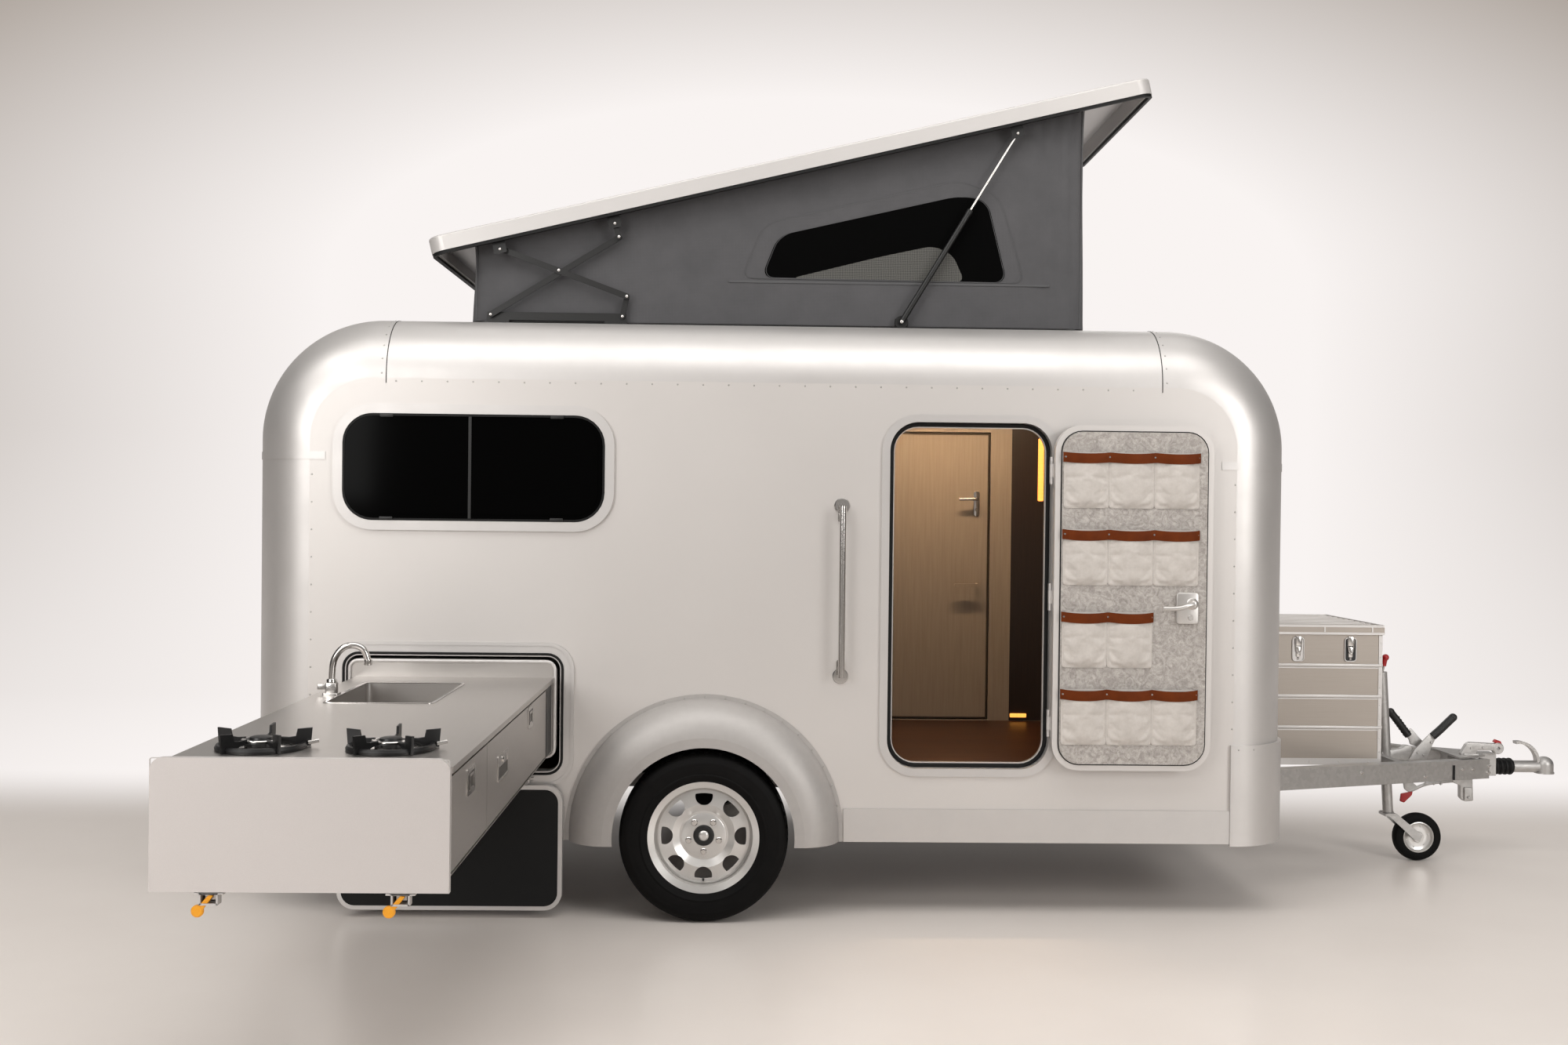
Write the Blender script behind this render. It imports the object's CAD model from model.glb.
"""Looks of a pop-top travel trailer: finishes, fittings, cloth and studio, around its fixed CAD frame."""

import math

import bmesh
import bpy
from mathutils import Matrix, Vector


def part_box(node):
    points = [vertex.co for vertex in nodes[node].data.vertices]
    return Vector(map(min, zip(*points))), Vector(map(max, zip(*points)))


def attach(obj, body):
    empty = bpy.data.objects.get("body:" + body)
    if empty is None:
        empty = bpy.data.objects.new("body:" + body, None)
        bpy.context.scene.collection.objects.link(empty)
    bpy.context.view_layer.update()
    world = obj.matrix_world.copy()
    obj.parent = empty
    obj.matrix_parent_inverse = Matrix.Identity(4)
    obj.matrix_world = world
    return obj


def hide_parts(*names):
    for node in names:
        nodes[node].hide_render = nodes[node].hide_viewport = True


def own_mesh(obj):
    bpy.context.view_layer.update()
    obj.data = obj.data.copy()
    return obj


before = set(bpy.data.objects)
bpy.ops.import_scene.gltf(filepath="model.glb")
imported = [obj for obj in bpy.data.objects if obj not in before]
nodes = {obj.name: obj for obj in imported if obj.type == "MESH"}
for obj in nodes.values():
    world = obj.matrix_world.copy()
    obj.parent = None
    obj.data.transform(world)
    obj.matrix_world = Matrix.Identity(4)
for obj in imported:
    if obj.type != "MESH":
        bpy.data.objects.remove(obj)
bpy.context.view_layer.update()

# The frame's origin, in millimetres ahead of the middle of the axle and out towards the door side.
origin_ahead, origin_out = 971.5, 876.5


def at(x, y, z):
    """A point given in millimetres from the ground under the middle of the axle."""
    return Vector(((x - origin_ahead) / 1000, (y + origin_out) / 1000, z / 1000))


def placed(name, data):
    """A new object in the scene that shows this mesh, lamp or camera."""
    made = bpy.data.objects.new(name, data)
    bpy.context.scene.collection.objects.link(made)
    return made


# ---- camera ----
lens = bpy.data.cameras.new("lens")
lens.lens = 35.0
lens.sensor_width = 36.0
lens.clip_end = 60
camera = placed("camera", lens)
yaw, pitch, roll = math.radians(-1.3), math.radians(90 - 0.634), math.radians(0.65)
camera.matrix_world = (
    Matrix.Translation((-0.823, -5.5235, 1.461))
    @ Matrix.Rotation(yaw, 4, "Z") @ Matrix.Rotation(pitch, 4, "X") @ Matrix.Rotation(roll, 4, "Z")
)
bpy.context.scene.camera = camera
bpy.context.scene.view_settings.view_transform = "Standard"


# ---- materials ----
def linear(code):
    """Linear colour of an sRGB hex code."""
    parts = [int(code[i:i + 2], 16) / 255 for i in (0, 2, 4)]
    return (*[c / 12.92 if c <= 0.04045 else ((c + 0.055) / 1.055) ** 2.4 for c in parts], 1.0)


def add(tree, kind, inputs=None, **settings):
    """Add a node with its settings; an input is a value, or the socket that feeds it."""
    node = tree.nodes.new("ShaderNode" + kind)
    for name, value in settings.items():
        setattr(node, name, value)
    for name, value in (inputs or {}).items():
        if isinstance(value, bpy.types.NodeSocket):
            tree.links.new(value, node.inputs[name])
        else:
            node.inputs[name].default_value = value
    return node


def material(name, slot, **shader):
    """A new material, its tree, its Principled shader and the object's own coordinates."""
    made = bpy.data.materials.new(name)
    made.use_nodes = True
    tree = made.node_tree
    tree.nodes.clear()
    surface = add(tree, "BsdfPrincipled", {key.replace("_", " "): v for key, v in shader.items()})
    add(tree, "OutputMaterial", {"Surface": surface.outputs[0]})
    return made, tree, surface, add(tree, "TexCoord").outputs["Object"]


def wire(tree, shader, **sources):
    """Feed a shader's inputs, such as Base_Color, from these sockets."""
    for name, source in sources.items():
        tree.links.new(source, shader.inputs[name.replace("_", " ")])


# Satin silver powder coat on aluminium sheet: soft grey, almost no reflection, a very fine orange peel.
silver_sheet, tree, surface, place = material(
    "satin_silver_powder_coat", "shell", Metallic=0.45, Roughness=0.42,
)
cloudy = add(tree, "TexNoise", {"Vector": place, "Scale": 1.3, "Detail": 2.0})
tone = add(tree, "Mix", {0: cloudy.outputs[0], 6: linear("d2cecb"), 7: linear("c6c2bf")}, data_type="RGBA")
peel = add(tree, "TexNoise", {"Vector": place, "Scale": 450.0, "Detail": 3.0})   # peel drawn at 2 mm
bump = add(tree, "Bump", {"Strength": 0.05, "Distance": 0.0004, "Height": peel.outputs[0]})
wire(tree, surface, Base_Color=tone.outputs[2], Normal=bump.outputs[0])

# Satin anodised aluminium, rolled and pressed: brighter than the walls, long soft highlights, faint
# handling marks. Its etched grain is drawn at 1.5 mm.
anodised, tree, surface, place = material("satin_anodised_aluminium", "trim", Metallic=0.7)
smears = add(tree, "TexNoise", {"Vector": place, "Scale": 5.0, "Detail": 4.0, "Roughness": 0.6})
rough = add(tree, "MapRange", {0: smears.outputs[0], 1: 0.3, 2: 0.7, 3: 0.40, 4: 0.48})
tone = add(tree, "Mix", {0: smears.outputs[0], 6: linear("cfccca"), 7: linear("c3c0be")}, data_type="RGBA")
grain = add(tree, "TexNoise", {"Vector": place, "Scale": 700.0, "Detail": 2.0})
bump = add(tree, "Bump", {"Strength": 0.04, "Distance": 0.0003, "Height": grain.outputs[0]})
wire(tree, surface, Base_Color=tone.outputs[2], Roughness=rough.outputs[0], Normal=bump.outputs[0])

# Hot-dip galvanised steel: zinc crystals of about 14 mm, each a slightly different grey and gloss.
galvanised, tree, surface, place = material("hot_dip_galvanised_steel", "galvanised", Metallic=0.8)
crystals = add(tree, "TexVoronoi", {"Vector": place, "Scale": 70.0, "Randomness": 1.0})
spangle = add(tree, "SeparateColor", {0: crystals.outputs["Color"]})
tone = add(tree, "Mix", {0: spangle.outputs[0], 6: linear("aeacaa"), 7: linear("b9b7b5")}, data_type="RGBA")
rough = add(tree, "MapRange", {0: spangle.outputs[1], 1: 0.0, 2: 1.0, 3: 0.42, 4: 0.5})
drips = add(tree, "TexNoise", {"Vector": place, "Scale": 60.0, "Detail": 3.0})
bump = add(tree, "Bump", {"Strength": 0.05, "Distance": 0.001, "Height": drips.outputs[0]})
wire(tree, surface, Base_Color=tone.outputs[2], Roughness=rough.outputs[0], Normal=bump.outputs[0])

# Black powder-coated steel: deep satin black, edges of the peel catch the light.
black_steel, tree, surface, place = material(
    "black_powder_coated_steel", "dark_metal", Roughness=0.42, Base_Color=linear("0a0a0a"),
)
peel = add(tree, "TexNoise", {"Vector": place, "Scale": 500.0, "Detail": 3.0})
bump = add(tree, "Bump", {"Strength": 0.15, "Distance": 0.0004, "Height": peel.outputs[0]})
wire(tree, surface, Normal=bump.outputs[0])

# EPDM rubber section: dull black, slightly dusty.
rubber, tree, surface, place = material(
    "extruded_epdm_rubber", "black_trim", Roughness=0.55, Specular_IOR_Level=0.25,
)
dust = add(tree, "TexNoise", {"Vector": place, "Scale": 40.0, "Detail": 5.0})
tone = add(tree, "Mix", {0: dust.outputs[0], 6: linear("070707"), 7: linear("101010")}, data_type="RGBA")
bump = add(tree, "Bump", {"Strength": 0.1, "Distance": 0.0005, "Height": dust.outputs[0]})
wire(tree, surface, Base_Color=tone.outputs[2], Normal=bump.outputs[0])

# Tyre rubber: matt black with a grey bloom on the sidewall.
tyre_rubber, tree, surface, place = material(
    "vulcanised_tyre_rubber", "tyre", Roughness=0.62, Specular_IOR_Level=0.12,
)
bloom = add(tree, "TexNoise", {"Vector": place, "Scale": 14.0, "Detail": 6.0, "Roughness": 0.6})
tone = add(tree, "Mix", {0: bloom.outputs[0], 6: linear("060606"), 7: linear("100f0f")}, data_type="RGBA")
pores = add(tree, "TexNoise", {"Vector": place, "Scale": 600.0, "Detail": 2.0})
bump = add(tree, "Bump", {"Strength": 0.15, "Distance": 0.0005, "Height": pores.outputs[0]})
wire(tree, surface, Base_Color=tone.outputs[2], Normal=bump.outputs[0])

# Silver lacquer on a cast wheel: metallic paint with a light clear coat.
wheel_lacquer, tree, surface, place = material(
    "silver_wheel_lacquer", "rim", Metallic=0.7, Roughness=0.3, Coat_Weight=0.3,
)
flake = add(tree, "TexNoise", {"Vector": place, "Scale": 900.0, "Detail": 2.0})
tone = add(tree, "Mix", {0: flake.outputs[0], 6: linear("c9c7c4"), 7: linear("dad8d6")}, data_type="RGBA")
wire(tree, surface, Base_Color=tone.outputs[2])

# Smoked acrylic pane: almost black, glossy, gently wavy as double panes are.
smoked, tree, surface, place = material(
    "smoked_acrylic", "pane", Roughness=0.09, Base_Color=linear("030303"), Specular_IOR_Level=0.03,
)
waves = add(tree, "TexNoise", {"Vector": place, "Scale": 3.0, "Detail": 1.0})
bump = add(tree, "Bump", {"Strength": 0.1, "Distance": 0.004, "Height": waves.outputs[0]})
wire(tree, surface, Normal=bump.outputs[0])

# Oiled oak boards 110 mm wide, laid front to back, with long grain and dark joints.
oak, tree, surface, place = material("oiled_oak_boards", "floor_wood", Roughness=0.38)
boards = add(tree, "TexBrick", {
    "Vector": place, "Scale": 1.0, "Brick Width": 1.4, "Row Height": 0.11, "Mortar Size": 0.0012,
    "Color1": linear("46230d"), "Color2": linear("563013"), "Mortar": linear("170b04"),
}, offset=0.37)
stretch = add(tree, "Mapping", {"Vector": place, "Scale": (2.0, 45.0, 20.0)})
grain = add(tree, "TexNoise", {"Vector": stretch.outputs[0], "Scale": 3.0, "Detail": 6.0})
streak = add(tree, "MapRange", {0: grain.outputs[0], 1: 0.3, 2: 0.7, 3: 0.55, 4: 1.0})
tone = add(tree, "Mix", {0: 1.0, 6: boards.outputs[0], 7: streak.outputs[0]}, data_type="RGBA",
           blend_type="MULTIPLY")
bump = add(tree, "Bump", {"Strength": 0.2, "Distance": 0.0008, "Height": grain.outputs[0]})
wire(tree, surface, Base_Color=tone.outputs[2], Normal=bump.outputs[0])

# Moulded black polyethylene: wheel-arch liner with a coarse pebble grain.
pebble, tree, surface, place = material(
    "black_moulded_polyethylene", "liner", Roughness=0.6, Base_Color=linear("141414"),
)
grain = add(tree, "TexVoronoi", {"Vector": place, "Scale": 350.0})   # pebbles of 3 mm
bump = add(tree, "Bump", {"Strength": 0.25, "Distance": 0.0006, "Height": grain.outputs[0]})
wire(tree, surface, Normal=bump.outputs[0])

# Matt birch laminate of the furniture and the washroom wall: warm pale brown, very fine upright pores.
laminate, tree, surface, place = material("matt_birch_laminate", "interior", Roughness=0.48)
stretch = add(tree, "Mapping", {"Vector": place, "Scale": (60.0, 60.0, 2.5)})
grain = add(tree, "TexNoise", {"Vector": stretch.outputs[0], "Scale": 2.0, "Detail": 5.0})
tone = add(tree, "Mix", {0: grain.outputs[0], 6: linear("b3a595"), 7: linear("9c8d7c")}, data_type="RGBA")
bump = add(tree, "Bump", {"Strength": 0.08, "Distance": 0.0004, "Height": grain.outputs[0]})
wire(tree, surface, Base_Color=tone.outputs[2], Normal=bump.outputs[0])

# Marled wool felt: pale grey with darker and lighter fibres matted in all directions.
felt, tree, surface, place = material("marled_wool_felt", "felt", Roughness=0.95, Sheen_Weight=0.25)
fibres = add(tree, "TexNoise", {
    "Vector": place, "Scale": 130.0, "Detail": 8.0, "Roughness": 0.75, "Distortion": 1.4,
})
matted = add(tree, "TexNoise", {"Vector": place, "Scale": 34.0, "Detail": 4.0, "Distortion": 2.0})
blend = add(tree, "Math", {0: fibres.outputs[0], 1: matted.outputs[0]}, operation="MULTIPLY")
spread = add(tree, "MapRange", {0: blend.outputs[0], 1: 0.12, 2: 0.4, 3: 0.0, 4: 1.0})
tone = add(tree, "Mix", {0: spread.outputs[0], 6: linear("87817c"), 7: linear("bdb8b3")}, data_type="RGBA")
bump = add(tree, "Bump", {"Strength": 0.5, "Distance": 0.002, "Height": fibres.outputs[0]})
wire(tree, surface, Base_Color=tone.outputs[2], Normal=bump.outputs[0])

# Washed linen: off-white plain weave with slubs; threads drawn at 2.2 mm so that they show.
linen, tree, surface, place = material("washed_linen", "linen", Roughness=0.9, Sheen_Weight=0.2)
yarn = {"Vector": place, "Scale": 145.0, "Distortion": 1.5, "Detail": 2.0}
warp, weft = (add(tree, "TexWave", yarn, bands_direction=way) for way in "XZ")
weave = add(tree, "Math", {0: warp.outputs[1], 1: weft.outputs[1]}, operation="MULTIPLY")
slubs = add(tree, "TexNoise", {"Vector": place, "Scale": 30.0, "Detail": 6.0, "Roughness": 0.7})
tone = add(tree, "Mix", {0: slubs.outputs[0], 6: linear("aaa39c"), 7: linear("d2cdc8")}, data_type="RGBA")
relief = add(tree, "Math", {0: weave.outputs[0], 1: slubs.outputs[0]}, operation="ADD")
bump = add(tree, "Bump", {"Strength": 0.35, "Distance": 0.0012, "Height": relief.outputs[0]})
wire(tree, surface, Base_Color=tone.outputs[2], Normal=bump.outputs[0])

# Vegetable-tanned leather strap: warm tan, darker where it has been handled, fine creases.
leather, tree, surface, place = material(
    "tan_bridle_leather", "linen", Roughness=0.6, Specular_IOR_Level=0.12,
)
mottle = add(tree, "TexNoise", {"Vector": place, "Scale": 25.0, "Detail": 5.0})
tone = add(tree, "Mix", {0: mottle.outputs[0], 6: linear("4a1c03"), 7: linear("6b300a")}, data_type="RGBA")
creases = add(tree, "TexVoronoi", {"Vector": place, "Scale": 550.0})   # grain cells of 2 mm
bump = add(tree, "Bump", {"Strength": 0.25, "Distance": 0.0005, "Height": creases.outputs[0]})
wire(tree, surface, Base_Color=tone.outputs[2], Normal=bump.outputs[0])

# Coated tent canvas: charcoal plain weave, soft sheen along the folds; threads drawn at 4 mm.
canvas, tree, surface, place = material("charcoal_tent_canvas", "canvas", Roughness=0.82, Sheen_Weight=0.15)
yarn = {"Vector": place, "Scale": 80.0, "Distortion": 0.8, "Detail": 1.0}
warp, weft = (add(tree, "TexWave", yarn, bands_direction=way) for way in "XZ")
weave = add(tree, "Math", {0: warp.outputs[1], 1: weft.outputs[1]}, operation="MULTIPLY")
wear = add(tree, "TexNoise", {"Vector": place, "Scale": 6.0, "Detail": 5.0, "Roughness": 0.65})
tone = add(tree, "Mix", {0: wear.outputs[0], 6: linear("3d3d3f"), 7: linear("525153")}, data_type="RGBA")
relief = add(tree, "Math", {0: weave.outputs[0], 1: wear.outputs[0]}, operation="ADD")
bump = add(tree, "Bump", {"Strength": 0.3, "Distance": 0.0015, "Height": relief.outputs[0]})
wire(tree, surface, Base_Color=tone.outputs[2], Normal=bump.outputs[0])

# Insect mesh: black polyester net; holes drawn at 5 mm.
net, tree, surface, place = material("black_insect_net", "canvas", Roughness=0.9, Specular_IOR_Level=0.05)
yarn = {"Vector": place, "Scale": 64.0}
across, upright = (add(tree, "TexWave", yarn, bands_direction=way) for way in "XZ")
holes = add(tree, "Math", {0: across.outputs[1], 1: upright.outputs[1]}, operation="MULTIPLY")
tone = add(tree, "Mix", {0: holes.outputs[0], 6: linear("020202"), 7: linear("060606")}, data_type="RGBA")
wire(tree, surface, Base_Color=tone.outputs[2])

# Grey net where the blind behind it is rolled down: light threads over a shaded ground.
pale_net, tree, surface, place = material("grey_insect_net", "canvas", Roughness=0.8)
yarn = {"Vector": place, "Scale": 48.0, "Distortion": 2.0}
across, upright = (add(tree, "TexWave", yarn, bands_direction=way) for way in "XZ")
holes = add(tree, "Math", {0: across.outputs[1], 1: upright.outputs[1]}, operation="ADD")
spread = add(tree, "MapRange", {0: holes.outputs[0], 1: 0.4, 2: 1.6, 3: 0.0, 4: 1.0})
tone = add(tree, "Mix", {0: spread.outputs[0], 6: linear("2b2b29"), 7: linear("5d5c58")}, data_type="RGBA")
wire(tree, surface, Base_Color=tone.outputs[2])

# Quilted ticking of the mattress: cream knit.
ticking, tree, surface, place = material("cream_mattress_ticking", "foam", Roughness=0.9)
knit = add(tree, "TexVoronoi", {"Vector": place, "Scale": 180.0})
tone = add(tree, "Mix", {0: knit.outputs[0], 6: linear("d9d3c8"), 7: linear("c4bdb0")}, data_type="RGBA")
bump = add(tree, "Bump", {"Strength": 0.3, "Distance": 0.001, "Height": knit.outputs[0]})
wire(tree, surface, Base_Color=tone.outputs[2], Normal=bump.outputs[0])

# Brushed stainless sheet: grain along the counter's length, soft streaked reflections. The scratches are
# drawn about 2.5 mm apart and 170 mm long.
brushed, tree, surface, place = material("brushed_stainless_steel", "steel", Metallic=1.0)
stretch = add(tree, "Mapping", {"Vector": place, "Scale": (420.0, 6.0, 420.0)})
brush = add(tree, "TexNoise", {"Vector": stretch.outputs[0], "Scale": 1.0, "Detail": 2.0})
rough = add(tree, "MapRange", {0: brush.outputs[0], 1: 0.3, 2: 0.7, 3: 0.33, 4: 0.37})
tone = add(tree, "Mix", {0: brush.outputs[0], 6: linear("bcb8b4"), 7: linear("c2bebb")}, data_type="RGBA")
bump = add(tree, "Bump", {"Strength": 0.015, "Distance": 0.0003, "Height": brush.outputs[0]})
wire(tree, surface, Base_Color=tone.outputs[2], Roughness=rough.outputs[0], Normal=bump.outputs[0])

# Satin silver paint on the kitchen's flat front: even and a little warmer than the walls.
front_paint, tree, surface, place = material(
    "satin_silver_front_paint", "front_paint", Metallic=0.4, Roughness=0.4,
)
peel = add(tree, "TexNoise", {"Vector": place, "Scale": 500.0, "Detail": 3.0})
tone = add(tree, "Mix", {0: peel.outputs[0], 6: linear("cdc8c6"), 7: linear("d6d1cf")}, data_type="RGBA")
bump = add(tree, "Bump", {"Strength": 0.05, "Distance": 0.0003, "Height": peel.outputs[0]})
wire(tree, surface, Base_Color=tone.outputs[2], Normal=bump.outputs[0])

# Enamelled cast iron of the hob: black, slightly rough, with a soft gloss on the edges.
enamel, tree, surface, place = material(
    "enamelled_cast_iron", "enamel", Roughness=0.38, Base_Color=linear("0e0e0f"),
)
casting = add(tree, "TexNoise", {"Vector": place, "Scale": 350.0, "Detail": 4.0})
bump = add(tree, "Bump", {"Strength": 0.3, "Distance": 0.0006, "Height": casting.outputs[0]})
wire(tree, surface, Normal=bump.outputs[0])

# Polished stainless of the tap, grab handle and door furniture: bright, with a few hairlines.
polished, tree, surface, place = material(
    "polished_stainless_steel", "handle", Metallic=1.0, Base_Color=linear("c9c6c3"),
)
hairlines = add(tree, "TexNoise", {"Vector": place, "Scale": 120.0, "Detail": 5.0})
rough = add(tree, "MapRange", {0: hairlines.outputs[0], 1: 0.3, 2: 0.7, 3: 0.1, 4: 0.2})
wire(tree, surface, Roughness=rough.outputs[0])

# Satin-rolled aluminium sheet of the fenders: duller and greyer than the walls, with a broad soft sheen.
fender_sheet, tree, surface, place = material("satin_rolled_aluminium", "trim", Metallic=0.5, Roughness=0.52)
rolled = add(tree, "TexNoise", {"Vector": place, "Scale": 40.0, "Detail": 3.0})
tone = add(tree, "Mix", {0: rolled.outputs[0], 6: linear("a9a5a3"), 7: linear("b1aeab")}, data_type="RGBA")
wire(tree, surface, Base_Color=tone.outputs[2])

# Silver gelcoat of the roof lid: pale grey satin with a faint flow.
gelcoat, tree, surface, place = material("silver_gelcoat", "lid", Metallic=0.25, Roughness=0.38)
flow = add(tree, "TexNoise", {"Vector": place, "Scale": 3.0, "Detail": 3.0})
tone = add(tree, "Mix", {0: flow.outputs[0], 6: linear("c8c5c3"), 7: linear("bfbcba")}, data_type="RGBA")
wire(tree, surface, Base_Color=tone.outputs[2])

# Red lamp lens: moulded polycarbonate with upright flutes.
lens_red, tree, surface, place = material(
    "red_lamp_polycarbonate", "lamp", Roughness=0.12, Base_Color=linear("7a0c0c"),
)
flutes = add(tree, "TexWave", {"Vector": place, "Scale": 55.0}, bands_direction="Y")
bump = add(tree, "Bump", {"Strength": 0.3, "Distance": 0.001, "Height": flutes.outputs[1]})
wire(tree, surface, Normal=bump.outputs[0])

# Mill-finish aluminium sheet of the tool box: dull, with rolling marks along the sheet.
mill, tree, surface, place = material("mill_finish_aluminium", "box", Metallic=0.7)
stretch = add(tree, "Mapping", {"Vector": place, "Scale": (5.0, 5.0, 300.0)})
rolled = add(tree, "TexNoise", {"Vector": stretch.outputs[0], "Scale": 1.0, "Detail": 5.0})
rough = add(tree, "MapRange", {0: rolled.outputs[0], 1: 0.3, 2: 0.7, 3: 0.38, 4: 0.5})
tone = add(tree, "Mix", {0: rolled.outputs[0], 6: linear("9c948c"), 7: linear("aaa29a")}, data_type="RGBA")
wire(tree, surface, Base_Color=tone.outputs[2], Roughness=rough.outputs[0])

# Moulded grip rubber of the levers: black, fine pimples.
grip, tree, surface, place = material(
    "black_grip_rubber", "black_trim", Roughness=0.5, Base_Color=linear("101010"),
)
pimples = add(tree, "TexVoronoi", {"Vector": place, "Scale": 400.0})
bump = add(tree, "Bump", {"Strength": 0.3, "Distance": 0.0006, "Height": pimples.outputs[0]})
wire(tree, surface, Normal=bump.outputs[0])

# Moulded nylon in signal colours: a soft gloss over a fine spark-eroded grain.
signal = {}
for name, code in (("orange_moulded_nylon", "f0a21c"), ("red_moulded_nylon", "a3171b")):
    signal[name], tree, surface, place = material(name, "lamp", Roughness=0.35)
    grain = add(tree, "TexNoise", {"Vector": place, "Scale": 300.0, "Detail": 2.0})
    shade = add(tree, "MapRange", {0: grain.outputs[0], 1: 0.3, 2: 0.7, 3: 0.92, 4: 1.0})
    tone = add(tree, "Mix", {0: 1.0, 6: linear(code), 7: shade.outputs[0]}, data_type="RGBA",
               blend_type="MULTIPLY")
    wire(tree, surface, Base_Color=tone.outputs[2])
orange_nylon, red_nylon = signal.values()

# Satin chrome casting of the door latch: pale grey, soft wide highlights.
satin_cast, tree, surface, place = material("satin_chrome_casting", "handle", Metallic=0.9)
cast = add(tree, "TexNoise", {"Vector": place, "Scale": 260.0, "Detail": 3.0})
rough = add(tree, "MapRange", {0: cast.outputs[0], 1: 0.3, 2: 0.7, 3: 0.28, 4: 0.38})
tone = add(tree, "Mix", {0: cast.outputs[0], 6: linear("d3d0cd"), 7: linear("c6c3c0")}, data_type="RGBA")
wire(tree, surface, Base_Color=tone.outputs[2], Roughness=rough.outputs[0])

# Bronze anodised strip round the inner door: dark warm grey with a drawn grain.
bronze_strip, tree, surface, place = material("bronze_anodised_strip", "handle", Metallic=0.8, Roughness=0.4)
stretch = add(tree, "Mapping", {"Vector": place, "Scale": (300.0, 300.0, 8.0)})
drawn = add(tree, "TexNoise", {"Vector": stretch.outputs[0], "Scale": 1.0, "Detail": 3.0})
tone = add(tree, "Mix", {0: drawn.outputs[0], 6: linear("4b4036"), 7: linear("6a5c4f")}, data_type="RGBA")
wire(tree, surface, Base_Color=tone.outputs[2])

# Smoked oak veneer of the wardrobe: near black brown, fine upright grain.
smoked_oak, tree, surface, place = material("smoked_oak_veneer", "interior", Roughness=0.5)
stretch = add(tree, "Mapping", {"Vector": place, "Scale": (90.0, 90.0, 3.0)})
grain = add(tree, "TexNoise", {"Vector": stretch.outputs[0], "Scale": 2.0, "Detail": 6.0})
tone = add(tree, "Mix", {0: grain.outputs[0], 6: linear("1c120b"), 7: linear("35241a")}, data_type="RGBA")
bump = add(tree, "Bump", {"Strength": 0.15, "Distance": 0.0005, "Height": grain.outputs[0]})
wire(tree, surface, Base_Color=tone.outputs[2], Normal=bump.outputs[0])

# Opal acrylic over warm diodes: an even amber glow, brighter where the diodes sit every 16 mm.
amber_glow, tree, surface, place = material(
    "amber_opal_acrylic", "lamp", Roughness=0.4, Base_Color=linear("ffb060"), Emission_Strength=1.6,
)
diodes = add(tree, "TexVoronoi", {"Vector": place, "Scale": 62.0, "Randomness": 0.0})
glow = add(tree, "Mix", {0: diodes.outputs[0], 6: linear("ffb456"), 7: linear("e88a2c")}, data_type="RGBA")
wire(tree, surface, Emission_Color=glow.outputs[2])

# Black needled liner on the inside of the flap: flat and matt, with short random fibres.
flap_liner, tree, surface, place = material("black_needled_liner", "black_trim", Roughness=0.95)
fibres = add(tree, "TexNoise", {"Vector": place, "Scale": 400.0, "Detail": 6.0, "Distortion": 2.0})
tone = add(tree, "Mix", {0: fibres.outputs[0], 6: linear("050505"), 7: linear("101010")}, data_type="RGBA")
bump = add(tree, "Bump", {"Strength": 0.4, "Distance": 0.0006, "Height": fibres.outputs[0]})
wire(tree, surface, Base_Color=tone.outputs[2], Normal=bump.outputs[0])

# Pressed cup of a ring pull: stainless in its own shade, so a darker grey.
pull_cup, tree, surface, place = material("pressed_stainless_cup", "steel", Metallic=0.9, Roughness=0.4)
press = add(tree, "TexNoise", {"Vector": place, "Scale": 200.0, "Detail": 3.0})
tone = add(tree, "Mix", {0: press.outputs[0], 6: linear("4a4845"), 7: linear("63605d")}, data_type="RGBA")
wire(tree, surface, Base_Color=tone.outputs[2])

# Polyester seam thread and taped seams of the tent: dark, with the twist of the thread.
thread, tree, surface, place = material("taped_seam_and_thread", "canvas", Roughness=0.7)
plies = add(tree, "TexWave", {"Vector": place, "Scale": 160.0, "Distortion": 1.0})
tone = add(tree, "Mix", {0: plies.outputs["Fac"], 6: linear("3a3a3b"), 7: linear("58585a")}, data_type="RGBA")
wire(tree, surface, Base_Color=tone.outputs[2])

# Aluminium rivet heads: a little darker than the sheet they sit on, scuffed by the tool.
rivet_heads, tree, surface, place = material("aluminium_rivet_heads", "trim", Metallic=0.8, Roughness=0.4)
scuff = add(tree, "TexNoise", {"Vector": place, "Scale": 500.0, "Detail": 3.0})
tone = add(tree, "Mix", {0: scuff.outputs[0], 6: linear("9c9a97"), 7: linear("bdbbb8")}, data_type="RGBA")
wire(tree, surface, Base_Color=tone.outputs[2])

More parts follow.
